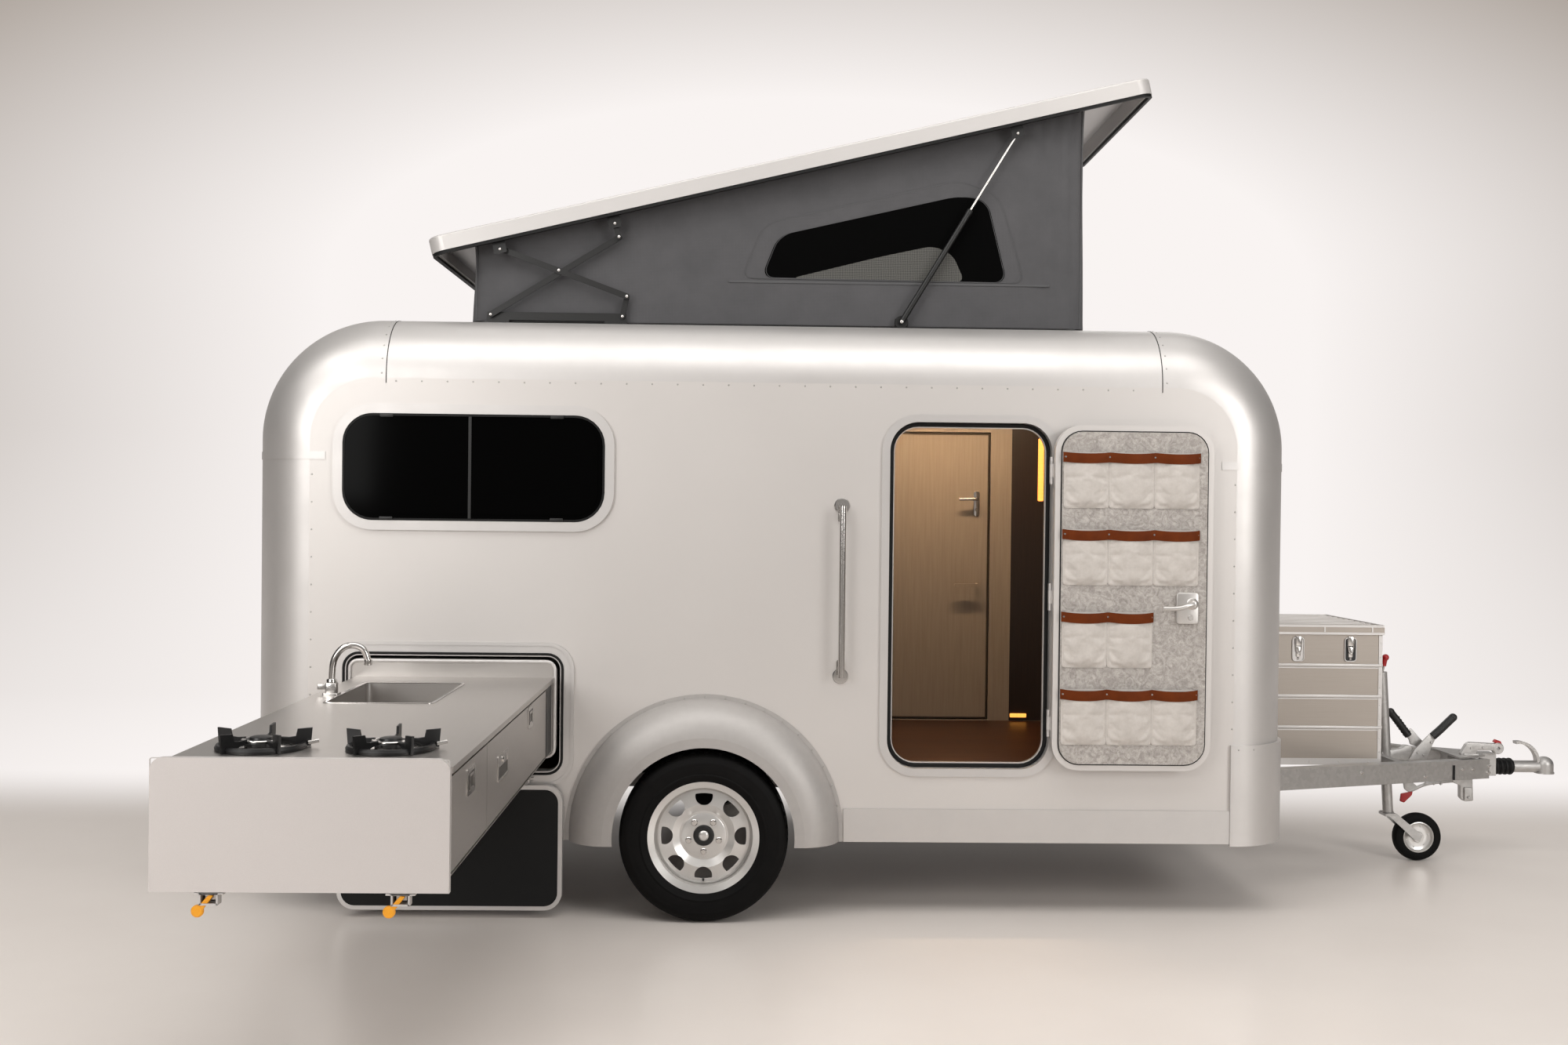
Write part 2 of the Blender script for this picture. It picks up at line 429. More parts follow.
finishes = {
    silver_sheet: ("side_wall_near", "side_wall_far", "end_walls", "roof_panel", "door_panel"),
    anodised: ("corner_mouldings", "edge_trim", "lower_skirts", "window_frames", "door_frame",
               "hatch_frame", "hatch_panel", "hatch_links"),
    fender_sheet: ("fenders",),
    galvanised: ("chassis_frame", "axle_beam", "coupling", "jockey_tube", "jockey_leg", "jockey_fork"),
    black_steel: ("roof_well", "scissor_arm_a", "scissor_arm_b", "scissor_link_low", "scissor_link_high",
                  "strut_cylinders"),
    rubber: ("lid_seal", "coupling_bellows"),
    tyre_rubber: ("tyre_near", "tyre_far", "jockey_wheel"),
    wheel_lacquer: ("rim_near", "rim_far"),
    smoked: ("window_panes",),
    oak: ("floor",),
    pebble: ("wheel_arch_liners",),
    laminate: ("bed_base", "washroom_partition", "inner_door"),
    felt: ("door_lining",),
    linen: ("door_pockets",),
    canvas: ("tent",),
    ticking: ("mattress",),
    brushed: ("kitchen_rails", "slide_middle", "kitchen_cabinet", "kitchen_worktop", "drawer_small",
              "drawer_large"),
    front_paint: ("kitchen_front",),
    enamel: ("hob_burners",),
    polished: ("kitchen_tap", "grab_handle", "door_handle", "strut_rods"),
    gelcoat: ("roof_lid",),
    lens_red: ("tail_lamps",),
    mill: ("storage_box", "storage_box_lid"),
}
for finish, names in finishes.items():
    for name in names:
        nodes[name].data.materials.clear()
        nodes[name].data.materials.append(finish)
assert not set(nodes) - {name for names in finishes.values() for name in names}


# ---- making of pieces ----
def facing(right, up, origin=(0.0, 0.0, 0.0)):
    """Matrix of a drawing in millimetres: x to the right, y up, z towards whoever looks at it."""
    right, up = Vector(right), Vector(up)
    turn = Matrix((right, up, right.cross(up))).transposed().to_4x4()
    return Matrix.Translation(at(*origin)) @ turn @ Matrix.Scale(0.001, 4)


# Drawings of the door side, the plain side, the roof and the nose. Depth runs outwards from the middle of
# the axle, at ground level.
near, far = facing((1, 0, 0), (0, 0, 1)), facing((-1, 0, 0), (0, 0, 1))
above, ahead = facing((1, 0, 0), (0, 1, 0)), facing((0, 1, 0), (0, 0, 1))


def corners(x, y, grow=0.0):
    """The corners of a rectangle from its x and y ranges, grown by the same amount all round."""
    (left, right), (low, high) = sorted(x), sorted(y)
    left, right, low, high = left - grow, right + grow, low - grow, high + grow
    return ((left, low), (right, low), (right, high), (left, high))


def round_off(bm, spots, radius, segments=7):
    """Round the corners of an outline."""
    bmesh.ops.bevel(
        bm, geom=spots, offset=radius, offset_type="OFFSET", segments=segments, profile=0.5,
        affect="VERTICES", material=-1,
    )


def slab(bm, points, low, high, radius=0.0, soft=0.0, band=0.0):
    """Add a plate with this outline between two depths; `band` opens it to a frame that wide."""
    before = set(bm.faces)
    spots = [bm.verts.new((x, y, low)) for x, y in points]
    bm.faces.new(spots)
    if radius:
        round_off(bm, spots, radius)
    sheet = [face for face in bm.faces if face not in before]
    if band:
        ring = bmesh.ops.inset_region(
            bm, faces=sheet, thickness=band, use_boundary=True, use_even_offset=True,
        )
        bmesh.ops.delete(bm, geom=sheet, context="FACES_ONLY")
        sheet = ring["faces"]
    grown = bmesh.ops.extrude_face_region(bm, geom=sheet)["geom"]
    lifted = [item for item in grown if isinstance(item, bmesh.types.BMVert)]
    bmesh.ops.translate(bm, verts=lifted, vec=(0, 0, high - low))
    if soft:
        bm.normal_update()
        rims = [
            edge for edge in {edge for spot in lifted for edge in spot.link_edges}
            if all(abs(spot.co.z - high) < 1e-6 for spot in edge.verts) and edge.calc_face_angle(0) > 1
        ]
        bmesh.ops.bevel(
            bm, geom=rims, offset=soft, segments=3, profile=0.5, affect="EDGES", material=-1,
            clamp_overlap=True,
        )


def turned(bm, profile, centre=(0.0, 0.0), steps=32, closed=False):
    """Add a shape turned about the drawing's depth axis from (radius, depth) pairs."""
    line = [bm.verts.new((centre[0] + radius, centre[1], depth)) for radius, depth in profile]
    edges = [bm.edges.new(pair) for pair in zip(line[:-1], line[1:])]
    if closed:
        edges.append(bm.edges.new((line[-1], line[0])))
    bmesh.ops.spin(
        bm, geom=line + edges, cent=(*centre, 0.0), axis=(0, 0, 1), dvec=(0, 0, 0), angle=math.tau,
        steps=steps, use_merge=True, use_duplicate=False,
    )


def both_sides(half, middle):
    """A turned section from its outer half: that half, and its mirror image about a middle depth."""
    return [(r, middle + d) for r, d in half] + [(r, middle - d) for r, d in reversed(half)]


def twist(bm, verts, degrees, axis):
    """Turn these vertices about one of the drawing's own axes."""
    turn = Matrix.Rotation(math.radians(degrees), 3, axis)
    bmesh.ops.rotate(bm, verts=verts, cent=(0, 0, 0), matrix=turn)


def knob(bm, centre, radius):
    """Add the round end of a grip."""
    bmesh.ops.create_uvsphere(
        bm, u_segments=18, v_segments=12, radius=radius, matrix=Matrix.Translation(centre),
    )


def bar(bm, points, radius, order=3, sides=3):
    """Add a round bar that follows a smooth line through these points, with closed ends."""
    curve = bpy.data.curves.new("bar", "CURVE")
    curve.dimensions = "3D"
    curve.bevel_depth, curve.bevel_resolution, curve.use_fill_caps = radius, sides, True
    line = curve.splines.new("NURBS")
    line.points.add(len(points) - 1)
    for knot, spot in zip(line.points, points):
        knot.co = (*spot, 1.0)
    line.order_u, line.use_endpoint_u = order, True
    line.resolution_u = 8
    holder = bpy.data.objects.new("bar", curve)
    bm.from_mesh(bpy.data.meshes.new_from_object(holder))
    bpy.data.objects.remove(holder)


def head(bm, x, y, depth, radius, height, sides=8):
    """Add one low domed rivet or screw head standing on a depth."""
    bmesh.ops.create_cone(
        bm, cap_ends=True, segments=sides, radius1=radius, radius2=0.6 * radius, depth=height,
        matrix=Matrix.Translation((x, y, depth + height / 2)),
    )


def piece(name, bm, view, finish, body="trailer", crisp=35.0):
    """Finish a drawing as an object in its place: closed, smooth but for its edges, riding on a body."""
    bmesh.ops.transform(bm, matrix=view, verts=bm.verts)
    bmesh.ops.remove_doubles(bm, verts=bm.verts, dist=0.00001)
    bmesh.ops.recalc_face_normals(bm, faces=bm.faces)
    mesh = bpy.data.meshes.new(name)
    bm.to_mesh(mesh)
    bm.free()
    mesh.materials.append(finish)
    mesh.shade_smooth()
    mesh.set_sharp_from_angle(angle=math.radians(crisp))
    made = placed(name, mesh)
    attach(made, body)
    return made


def plate(name, view, finish, points, low, high, body="trailer", **shape):
    """One plate or frame as a piece of its own."""
    bm = bmesh.new()
    slab(bm, points, low, high, **shape)
    return piece(name, bm, view, finish, body)


def first_hits(sights, carriers):
    """Place and normal where each line of sight, from one point towards another, first meets its carriers."""
    met = []
    for start, target in sights:
        begin, look = at(*start), (at(*target) - at(*start)).normalized()
        hits = [hit for hit in (nodes[carrier].ray_cast(begin, look) for carrier in carriers) if hit[0]]
        if hits:
            met.append(min(hits, key=lambda hit: (hit[1] - begin).length)[1:3])
    return met


def studs(name, sights, carriers, finish, radius=3.4, height=1.8, body="trailer"):
    """Rivet heads, sunk a little into their carriers, where the lines of sight meet them."""
    bm = bmesh.new()
    for spot, normal in first_hits(sights, carriers):
        turn = normal.to_track_quat("Z", "Y").to_matrix().to_4x4()
        bmesh.ops.create_cone(
            bm, cap_ends=True, segments=8, radius1=radius / 1000, radius2=0.6 * radius / 1000,
            depth=height / 1000, matrix=Matrix.Translation(spot + normal * height / 2100) @ turn,
        )
    return piece(name, bm, Matrix.Identity(4), finish, body)


bpy.context.view_layer.update()

# ---- wheels ----
axle_height, wheel_out, tread_steps = 298.0, 1007.5, 120
half_section = (
    (180, 66), (186, 72), (196, 77), (205, 83), (215, 87), (218, 89.6), (222, 89.6), (224, 88.4), (238, 91.4),
    (252, 92.3), (257, 91.6), (260, 92.4), (265, 92.2), (268, 90.8), (280, 87), (288, 81.5), (293, 74),
    (295.6, 62), (296.2, 52), (289.4, 51), (289.4, 44), (296.9, 43), (297.5, 23), (289.8, 22), (289.8, 15),
    (297.9, 14),
)
cap_section = ((0, 1058.5), (10, 1058), (15, 1056.5), (18, 1053), (18, 1050), (0, 1050))
disc_section = ((33.5, 1042.7), (78, 1042.7), (78, 1044.5), (76, 1045.6), (34.5, 1045.6), (33.5, 1044.6))
ring_section = (
    (18.2, 1043), (37, 1043), (37, 1047.5), (34.5, 1052), (30, 1053.6), (21, 1053.6), (18.2, 1052),
)
for side, view in (("near", near), ("far", far)):
    hub, body = (0.0, axle_height), f"wheel_{side}"
    bm = bmesh.new()
    turned(bm, both_sides(half_section, wheel_out), hub, steps=tread_steps, closed=True)
    pockets = []
    for face in bm.faces:
        middle = face.calc_center_median()
        reach = math.hypot(middle.x, middle.y - axle_height)
        step = round(math.atan2(middle.y - axle_height, middle.x) / math.tau * tread_steps - 0.5)
        if reach > 293.5 and (step + round((middle.z - wheel_out) / 16)) % 3 == 0:
            pockets.append(face)
    bmesh.ops.inset_individual(bm, faces=pockets, thickness=1.4, depth=-5.0)
    tyre = piece(f"tyre_with_tread_{side}", bm, view, tyre_rubber, body, crisp=24)
    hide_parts(f"tyre_{side}")

    bm = bmesh.new()
    turned(bm, disc_section, hub, steps=48, closed=True)
    turned(bm, cap_section, hub, steps=32)
    piece(f"hub_face_and_cap_{side}", bm, view, wheel_lacquer, body)
    bm = bmesh.new()
    turned(bm, ring_section, hub, steps=40, closed=True)
    bar(bm, ((0, axle_height - 166, 1028), (0, axle_height - 158, 1046), (0, axle_height - 153, 1054)), 4.2)
    piece(f"hub_ring_and_valve_{side}", bm, view, grip, body)
    bm = bmesh.new()
    for index in range(5):
        turn = math.radians(72 * index - 90)
        x, y = 56 * math.cos(turn), axle_height + 56 * math.sin(turn)
        turned(bm, ((0, 1046), (11.5, 1046), (11.5, 1047.5), (9.5, 1049), (0, 1049)), (x, y), steps=20)
        bmesh.ops.create_cone(
            bm, cap_ends=True, segments=6, radius1=9.4, radius2=8.6, depth=11,
            matrix=Matrix.Translation((x, y, 1054)),
        )
    piece(f"wheel_bolts_{side}", bm, view, polished, body, crisp=25)

# ---- side windows ----
for side, view, sign in (("near", near, 1), ("far", far, -1)):
    glass_x, glass_z, middle = (sign * -1283, sign * -363), (1394, 1770), sign * -837
    plate(f"window_seal_{side}", view, rubber, corners(glass_x, glass_z), 1010.3, 1012.6,
          radius=105, soft=1, band=8)
    plate(f"window_double_pane_{side}", view, smoked, corners(glass_x, glass_z, -25), 1010.3, 1013.6,
          radius=80, soft=1.6)
    bm = bmesh.new()
    slab(bm, corners((middle - 4, middle + 4), glass_z, -9), 1013.7, 1015.2, soft=0.8)
    for x in (sign * -1129, sign * -532):
        for z in ((1757, 1768), (1396, 1407)):
            slab(bm, corners((x - 23, x + 23), z), 1012.7, 1016.5, radius=3, soft=1)
    piece(f"window_stays_{side}", bm, view, black_steel)

# ---- entrance ----
door_x, door_z = (652, 1214), (539, 1756)
plate("door_gasket", near, rubber, corners(door_x, door_z, 6.5), 966.3, 975.5,
      radius=101.5, soft=4, band=15)
plate("door_gasket_bead", near, anodised, corners(door_x, door_z, -8.6), 966.3, 975.3,
      radius=86, soft=1.4, band=3.4)
leaf_x = (1222, 1784)
bm = bmesh.new()
for z in (858, 1463):
    turned(bm, ((0, 1000.2), (28, 1000.2), (28, 1003), (25, 1006), (0, 1007)), (477, z), steps=40)
piece("grab_handle_flanges", bm, near, polished)
plate("door_leaf_seal", near, rubber, corners(leaf_x, door_z, -19.5), 1062.3, 1064.6,
      radius=75, soft=1, band=3.2, body="door")
bm = bmesh.new()
slab(bm, corners((1652, 1731), (1061, 1171)), 1070.4, 1081, radius=11, soft=3)
turned(bm, ((0, 1103), (8, 1103), (11, 1101), (17, 1084), (21, 1081), (0, 1081)), (1708, 1131), steps=28)
bar(bm, ((1708, 1131, 1100), (1690, 1129, 1108), (1660, 1118, 1109), (1626, 1116, 1107), (1600, 1116, 1103)),
    8.2, sides=4)
turned(bm, ((0, 1084), (8, 1084), (10, 1081), (0, 1081)), (1702, 1083), steps=24)
slab(bm, corners((1647, 1737), (1050, 1180)), 1029.6, 1022.8, radius=14)
handle = piece("door_latch", bm, near, satin_cast, "door")
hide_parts("door_handle")

# Inner door: rim, long plate and lever.
inner_face, lever_x, lever_z = -100.0, 1118, 1498
plate("inner_door_rim", near, bronze_strip, corners((760, 1172), (560, 1778), -0.5),
      inner_face, inner_face + 1.6, radius=4, soft=0.5, band=6)
bm = bmesh.new()
slab(bm, corners((1106, 1131), (1424, 1533)), inner_face, inner_face + 6, radius=12, soft=2)
bar(bm, (
    (lever_x, lever_z, inner_face + 4), (lever_x, lever_z, inner_face + 34),
    (lever_x - 4, lever_z, inner_face + 42), (lever_x - 40, lever_z, inner_face + 42),
    (lever_x - 79, lever_z - 1, inner_face + 41),
), 6.5, sides=4)
turned(bm, ((0, inner_face + 12), (6, inner_face + 12), (7, inner_face + 5.5), (0, inner_face + 5.5)),
       (lever_x, 1452), steps=20)
piece("inner_door_lever", bm, near, polished, "inner_door")

# Front of the cabin: dark wardrobe face on the washroom wall, with a lit strip at its edge and one by the
# floor.
plate("wardrobe_face", near, smoked_oak, corners((1268, 2068), (553, 1880)), -99.6, -96, soft=0.8)
plate("reading_light", near, amber_glow, corners((1380, 1404), (1492, 1760)), -95.9, -88, radius=6, soft=3)
plate("floor_light", near, amber_glow, corners((1272, 1342), (566, 582)), -95.9, -90, radius=3, soft=2)

# ---- kitchen opening and flap ----
hatch_x, hatch_z = (-1283, -497), (495, 935)
plate("hatch_gasket", near, rubber, corners(hatch_x, hatch_z, -4), 1005.3, 1010, radius=58, soft=3, band=9)
plate("hatch_rim_bead", near, anodised, corners(hatch_x, hatch_z, 33), 1005.2, 1008.4,
      radius=95, soft=2.4, band=12)
plate("kitchen_end_cove", near, anodised, corners((-1255.5, -524.5), (560.5, 907.5)), 1015.3, 1024,
      radius=35, soft=5, band=12, body="kitchen")
plate("flap_lining", near, flap_liner, corners(hatch_x, (29, 469), -15), 1043.3, 1044.6,
      radius=47, soft=0.6, body="hatch")

# ---- kitchen block ----
for body, node, pulls, locks in (
    ("small_drawer", "drawer_small", ((-2604, 772),), ()),
    ("large_drawer", "drawer_large", ((-1575, 786),), (-2118,)),
):
    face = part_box(node)[1].x * 1000 + origin_ahead
    bright, dark = bmesh.new(), bmesh.new()
    for y, z in pulls:
        slab(bright, corners((y - 54, y + 54), (z - 34, z + 34)), face + 0.2, face + 2.6,
             radius=9, soft=1, band=12)
        slab(bright, corners((y - 30, y + 30), (z - 23, z + 17)), face + 0.4, face + 3.4,
             radius=5, soft=1.2, band=7)
        slab(dark, corners((y - 43, y + 43), (z - 23, z + 23)), face + 0.1, face + 0.8)
    for y in locks:
        slab(bright, corners((y - 82, y + 82), (690, 762)), face + 0.2, face + 3.2, radius=8, soft=1, band=6)
        slab(bright, corners((y - 76, y + 76), (728, 756)), face + 0.2, face + 2.2, soft=0.6)
        turned(bright, ((0, face + 6), (8, face + 6), (10, face + 4), (10, face + 2), (0, face + 2)),
               (y, 742), steps=24)
        slab(dark, corners((y - 76, y + 76), (696, 727)), face + 0.2, face + 1.4, soft=0.5)
    piece(f"{node}_pulls", bright, ahead, polished, body)
    piece(f"{node}_pull_cups", dark, ahead, pull_cup, body)

# Folded edge of the worktop, and the dark end of the cabinet by the wall.
plate("worktop_edge", ahead, brushed, corners((-2846, -1030), (829.6, 845)), -536.8, -533.6,
      soft=1.2, body="kitchen")
plate("cabinet_end_shadow_strip", ahead, black_steel, corners((-1198, -1066), (594, 828)), -536.8, -535.4,
      soft=0.4, body="kitchen")

# Sink: rolled rim, and a waste with its cross.
waste_x, waste_y = -978, -1330
bm = bmesh.new()
slab(bm, corners((-1140, -815), (-1735, -1215), 9), 845.2, 846.8, radius=29, soft=1, band=11)
turned(bm, ((15, 697.3), (44, 697.3), (44, 698.6), (38, 699.4), (30, 698.4), (15, 698.2)),
       (waste_x, waste_y), steps=36, closed=True)
piece("sink_rim_and_waste", bm, above, polished, "kitchen")
bm = bmesh.new()
turned(bm, ((0, 699.2), (14, 699.2), (20, 698.3), (20, 697.5), (0, 697.5)), (waste_x, waste_y), steps=28)
for half_x, half_y in ((16, 2.5), (2.5, 16)):
    cross = corners((waste_x - half_x, waste_x + half_x), (waste_y - half_y, waste_y + half_y))
    slab(bm, cross, 698.6, 699.8, soft=0.4)
piece("sink_waste_cross", bm, above, pull_cup, "kitchen")

# Tap: square body in two stages, arched spout with a collar, side lever.
tap_x, tap_y = -1170, -1540
bm = bmesh.new()
slab(bm, corners((tap_x - 24, tap_x + 24), (tap_y - 24, tap_y + 24)), 845.4, 852, radius=6, soft=1.6)
slab(bm, corners((tap_x - 17, tap_x + 17), (tap_y - 17, tap_y + 17)), 852, 884, radius=5, soft=2)
slab(bm, corners((tap_x - 44, tap_x - 16), (tap_y - 9, tap_y + 9)), 862, 880, radius=3, soft=2)
turned(bm, ((0, 896), (14, 896), (16.5, 892), (16.5, 884), (0, 884)), (tap_x, tap_y), steps=28)
bar(bm, (
    (tap_x, tap_y, 888), (tap_x, tap_y, 925), (tap_x + 8, tap_y, 965), (tap_x + 36, tap_y + 2, 1000),
    (tap_x + 76, tap_y + 4, 1004), (tap_x + 106, tap_y + 6, 985), (tap_x + 112, tap_y + 7, 950),
), 10.5, sides=5)
turned(bm, ((9, 957), (12.5, 957), (13, 952), (12.6, 940), (9, 939)), (tap_x + 112, tap_y + 7),
       steps=28, closed=True)
tap = piece("mixer_tap", bm, above, polished, "kitchen")
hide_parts("kitchen_tap")
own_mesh(tap)

# Hob: drip plate, burner, cap and five upstanding arms each.
iron, steel = bmesh.new(), bmesh.new()
for x, y in ((-1055, -2600), (-735, -2600)):
    turned(steel, ((40, 845.5), (98, 845.5), (98, 847), (92, 848.4), (60, 846.8), (46, 850), (40, 850)),
           (x, y), steps=48, closed=True)
    turned(steel, ((36, 866), (47, 866), (47.6, 868), (46, 869.6), (36, 869.6)), (x, y),
           steps=40, closed=True)
    turned(iron, ((94, 846), (109, 846), (110, 852), (106, 859), (100, 860), (95, 856)), (x, y),
           steps=56, closed=True)
    turned(iron, ((0, 876), (20, 876), (27, 874), (29, 869), (44, 868), (46, 862), (40, 852), (0, 852)),
           (x, y), steps=40)
    for arm in range(5):
        before = set(iron.verts)
        slab(iron, (
            (44, 862), (64, 858), (78, 850), (98, 850), (98, 846), (118, 846), (122, 892), (86, 890),
            (82, 872), (66, 870), (44, 872),
        ), -3.4, 3.4, soft=1.4)
        fresh = [spot for spot in iron.verts if spot not in before]
        twist(iron, fresh, 90, "X")
        twist(iron, fresh, 72 * arm + 20, "Z")
        bmesh.ops.translate(iron, verts=fresh, vec=(x, y, 0))
    bar(steel, ((x + 108, y + 26, 856), (x + 122, y + 32, 858), (x + 132, y + 36, 860)), 5)
hob = piece("hob_irons", iron, above, enamel, "kitchen")
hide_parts("hob_burners")
piece("hob_drip_plates", steel, above, polished, "kitchen")

# Front panel: thin bright edge, runner ends under it and their release paddles.
plate("front_panel_edge", near, anodised, corners((-1227, -537), (554, 865)), 2862.4, 2864.8,
      radius=6, soft=0.8, band=2.4, body="kitchen")
bm, slots, paddles = bmesh.new(), bmesh.new(), bmesh.new()
for x in (-1091, -650):
    slab(bm, corners((x - 22, x + 22), (522.5, 552)), 2836, 2862, radius=2, soft=0.8, band=4.5)
    slab(bm, corners((x - 34, x + 34), (547.5, 552)), 2842, 2862, soft=0.8)
    slab(slots, corners((x - 17, x + 17), (528, 547)), 2837, 2840, soft=0.3)
    slab(paddles, ((x + 10, 544), (x, 547), (x - 29, 515), (x - 20, 504)), 2850, 2859, radius=3, soft=2)
    turned(paddles, ((0, 2860), (11, 2860), (14.5, 2857), (14.5, 2851), (11, 2848), (0, 2848)), (x - 27, 508),
           steps=28)
piece("runner_ends", bm, near, anodised, "kitchen")
piece("runner_slots", slots, near, black_steel, "kitchen")
levers = piece("release_paddles", paddles, near, orange_nylon, "kitchen")
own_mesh(levers)

# ---- soft goods ----
def ramp(value, low, high):
    """0 below low, 1 above high, and a smooth rise between."""
    part = min(1.0, max(0.0, (value - low) / (high - low)))
    return part * part * (3 - 2 * part)


def inflated(made, cap, pressure=4.0, slack=0.0, pins=None):
    """Blow a cloth piece up, let no point move further than the cap, and keep the shape that it takes."""
    cloth = made.modifiers.new("cloth", "CLOTH")
    cloth.settings.use_pressure, cloth.settings.uniform_pressure_force = True, pressure
    cloth.settings.shrink_min = -slack
    cloth.settings.effector_weights.gravity = 0.0
    if pins:
        cloth.settings.vertex_group_mass = pins
    for tick in range(1, 21):
        bpy.context.scene.frame_set(tick)
    blown = made.evaluated_get(bpy.context.evaluated_depsgraph_get()).to_mesh()
    moves = [end.co - begin.co for begin, end in zip(made.data.vertices, blown.vertices)]
    made.modifiers.remove(cloth)
    for vertex, move in zip(made.data.vertices, moves):
        vertex.co += move * min(1.0, cap / max(move.length, 1e-9))
    bpy.context.scene.frame_set(1)


# Lower rear edge of the raised lid, and its slope.
lid_x, lid_z, lid_slope = -2135, 2125, math.radians(13.46)

# Roof tent: one continuous canvas wall from the coaming up to the sloping lid, with folds towards its ends.
tent_x, tent_y, tent_round, hem_low = (-925, 1435), (-560, 560), 70, 2153


def hem(x):
    """Height of the tent's upper edge, which is clamped along the raised lid."""
    return 2181.5 + (x - lid_x) * math.tan(lid_slope)


bm = bmesh.new()
ring = [bm.verts.new((x, y, 0.0)) for x, y in corners(tent_x, tent_y)]
bm.faces.new(ring)
round_off(bm, ring, tent_round, segments=10)
bmesh.ops.delete(bm, geom=bm.faces[:], context="FACES_ONLY")
for length, cuts in ((1500, 130), (900, 64)):
    bmesh.ops.subdivide_edges(bm, edges=[edge for edge in bm.edges if edge.calc_length() > length], cuts=cuts)
level, rows = bm.edges[:], 40
for row in range(1, rows + 1):
    grown = bmesh.ops.extrude_edge_only(bm, edges=level)["geom"]
    upper = {item for item in grown if isinstance(item, bmesh.types.BMVert)}
    for spot in upper:
        spot.co.z = row
    level = [item for item in grown if isinstance(item, bmesh.types.BMEdge) and set(item.verts) <= upper]
for spot in bm.verts:
    x, y, height = spot.co.x, spot.co.y, spot.co.z / rows
    middle = Vector((min(1365, max(-855, x)), min(490, max(-490, y)), 0))
    outward = (Vector((x, y, 0)) - middle).normalized()
    held = math.sin(math.pi * height) ** 0.6
    at_end = ramp(abs(x - 255), 1120, 1180)
    flat = ramp(x, 40, 120) * (1 - ramp(x, 1195, 1240)) * (1 - at_end)
    front = ramp(x, 1190, 1300) * (1 - at_end)
    folds = 12 * front * (0.5 + 0.5 * math.sin(x / 9.5 + 1.6 * height)) * (0.3 + 0.7 * height)
    folds += 3.4 * (1 - front) * (1 - flat) * (0.5 + 0.5 * math.sin(x / 96 + y / 120 + 3.5 * height)) * held
    folds += 10 * at_end * (0.5 + 0.5 * math.sin(y / 38 + 2.0 * height)) * held
    folds += 5 * (1 - ramp(abs(x - 1365) + 60 * height, 20, 90)) * held
    spot.co -= outward * folds
    spot.co.z = hem_low + (hem(x) - hem_low) * height
bmesh.ops.recalc_face_normals(bm, faces=bm.faces)
wall_area = sum(face.calc_area() for face in bm.faces) / 1e6
bmesh.ops.solidify(bm, geom=bm.faces[:], thickness=1.2)
tent = piece("tent_wall", bm, above, canvas, crisp=60)
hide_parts("tent")

tent_parts = []
window = ((106, 2328), (193, 2539), (942, 2716), (1094, 2658), (1195, 2323))
mesh_net = ((180, 2329), (245, 2495), (943, 2659), (1049, 2642), (1129, 2322))
patch = ((300, 2331), (640, 2418), (840, 2462), (916, 2430), (963, 2326))
for side, view, sign in (("near", near, 1), ("far", far, -1)):
    for name, finish, outline, low, high, radius in (
        ("tent_window_facing", canvas, window, 560.4, 561.8, 52),
        ("tent_window_net", net, mesh_net, 561.9, 562.7, 48),
        ("tent_window_patch", pale_net, patch, 562.8, 563.4, 30),
    ):
        outline = [(sign * x, z) for x, z in outline]
        bm = bmesh.new()
        slab(bm, outline, low, high, radius=radius, soft=0.4)
        tent_parts.append(piece(f"{name}_{side}", bm, view, finish))
    bm = bmesh.new()
    for outline, low in ((window, 561.8), (mesh_net, 562.7)):
        middle = Vector((sum(x for x, _ in outline) / 5, sum(z for _, z in outline) / 5))
        for inset in (0, 0.012):
            seam = [middle.lerp(Vector(spot), 1 - inset) for spot in outline]
            slab(bm, [(sign * x, z) for x, z in seam], low, low + 0.7, radius=48, band=1.6)
    slab(bm, corners((sign * 60, sign * 1290), (2312, 2321)), 560.6, 562.4, soft=0.6)
    tent_parts.append(piece(f"tent_window_seams_{side}", bm, view, thread))
bm = bmesh.new()
for x in (-904, 1414):
    for y in (-539, 539):
        bar(bm, ((x, y, hem_low + 2), (x, y, (hem_low + hem(x)) / 2), (x, y, hem(x) - 4)), 3.4)
tent_parts.append(piece("tent_corner_piping", bm, above, thread))
for part in (tent, *tent_parts):
    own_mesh(part)

# Felt lining of the entrance door, padded and glued inside its aluminium rim.
bm = bmesh.new()
slab(bm, corners(leaf_x, door_z, -24), 1062.3, 1069.6, radius=72, soft=3)
lining = piece("door_felt_lining", bm, near, felt, "door")
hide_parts("door_lining")

# Linen pockets: each front is a little wider than its place, so it puffs out and creases at its bottom
# corners. Each row is the height of its mouths and its number of pockets.
pocket_rows = ((1661, 3), (1390, 3), (1100, 2), (828, 3))
pocket_x, pocket_pitch, pocket_width = 1252, 160, 156
bm, binding, straps, rivets = bmesh.new(), bmesh.new(), bmesh.new(), bmesh.new()
edge_spots = set()


def sag(part):
    """How far a pocket's mouth hangs open at this share of its width."""
    return math.sin(math.pi * part) ** 0.8


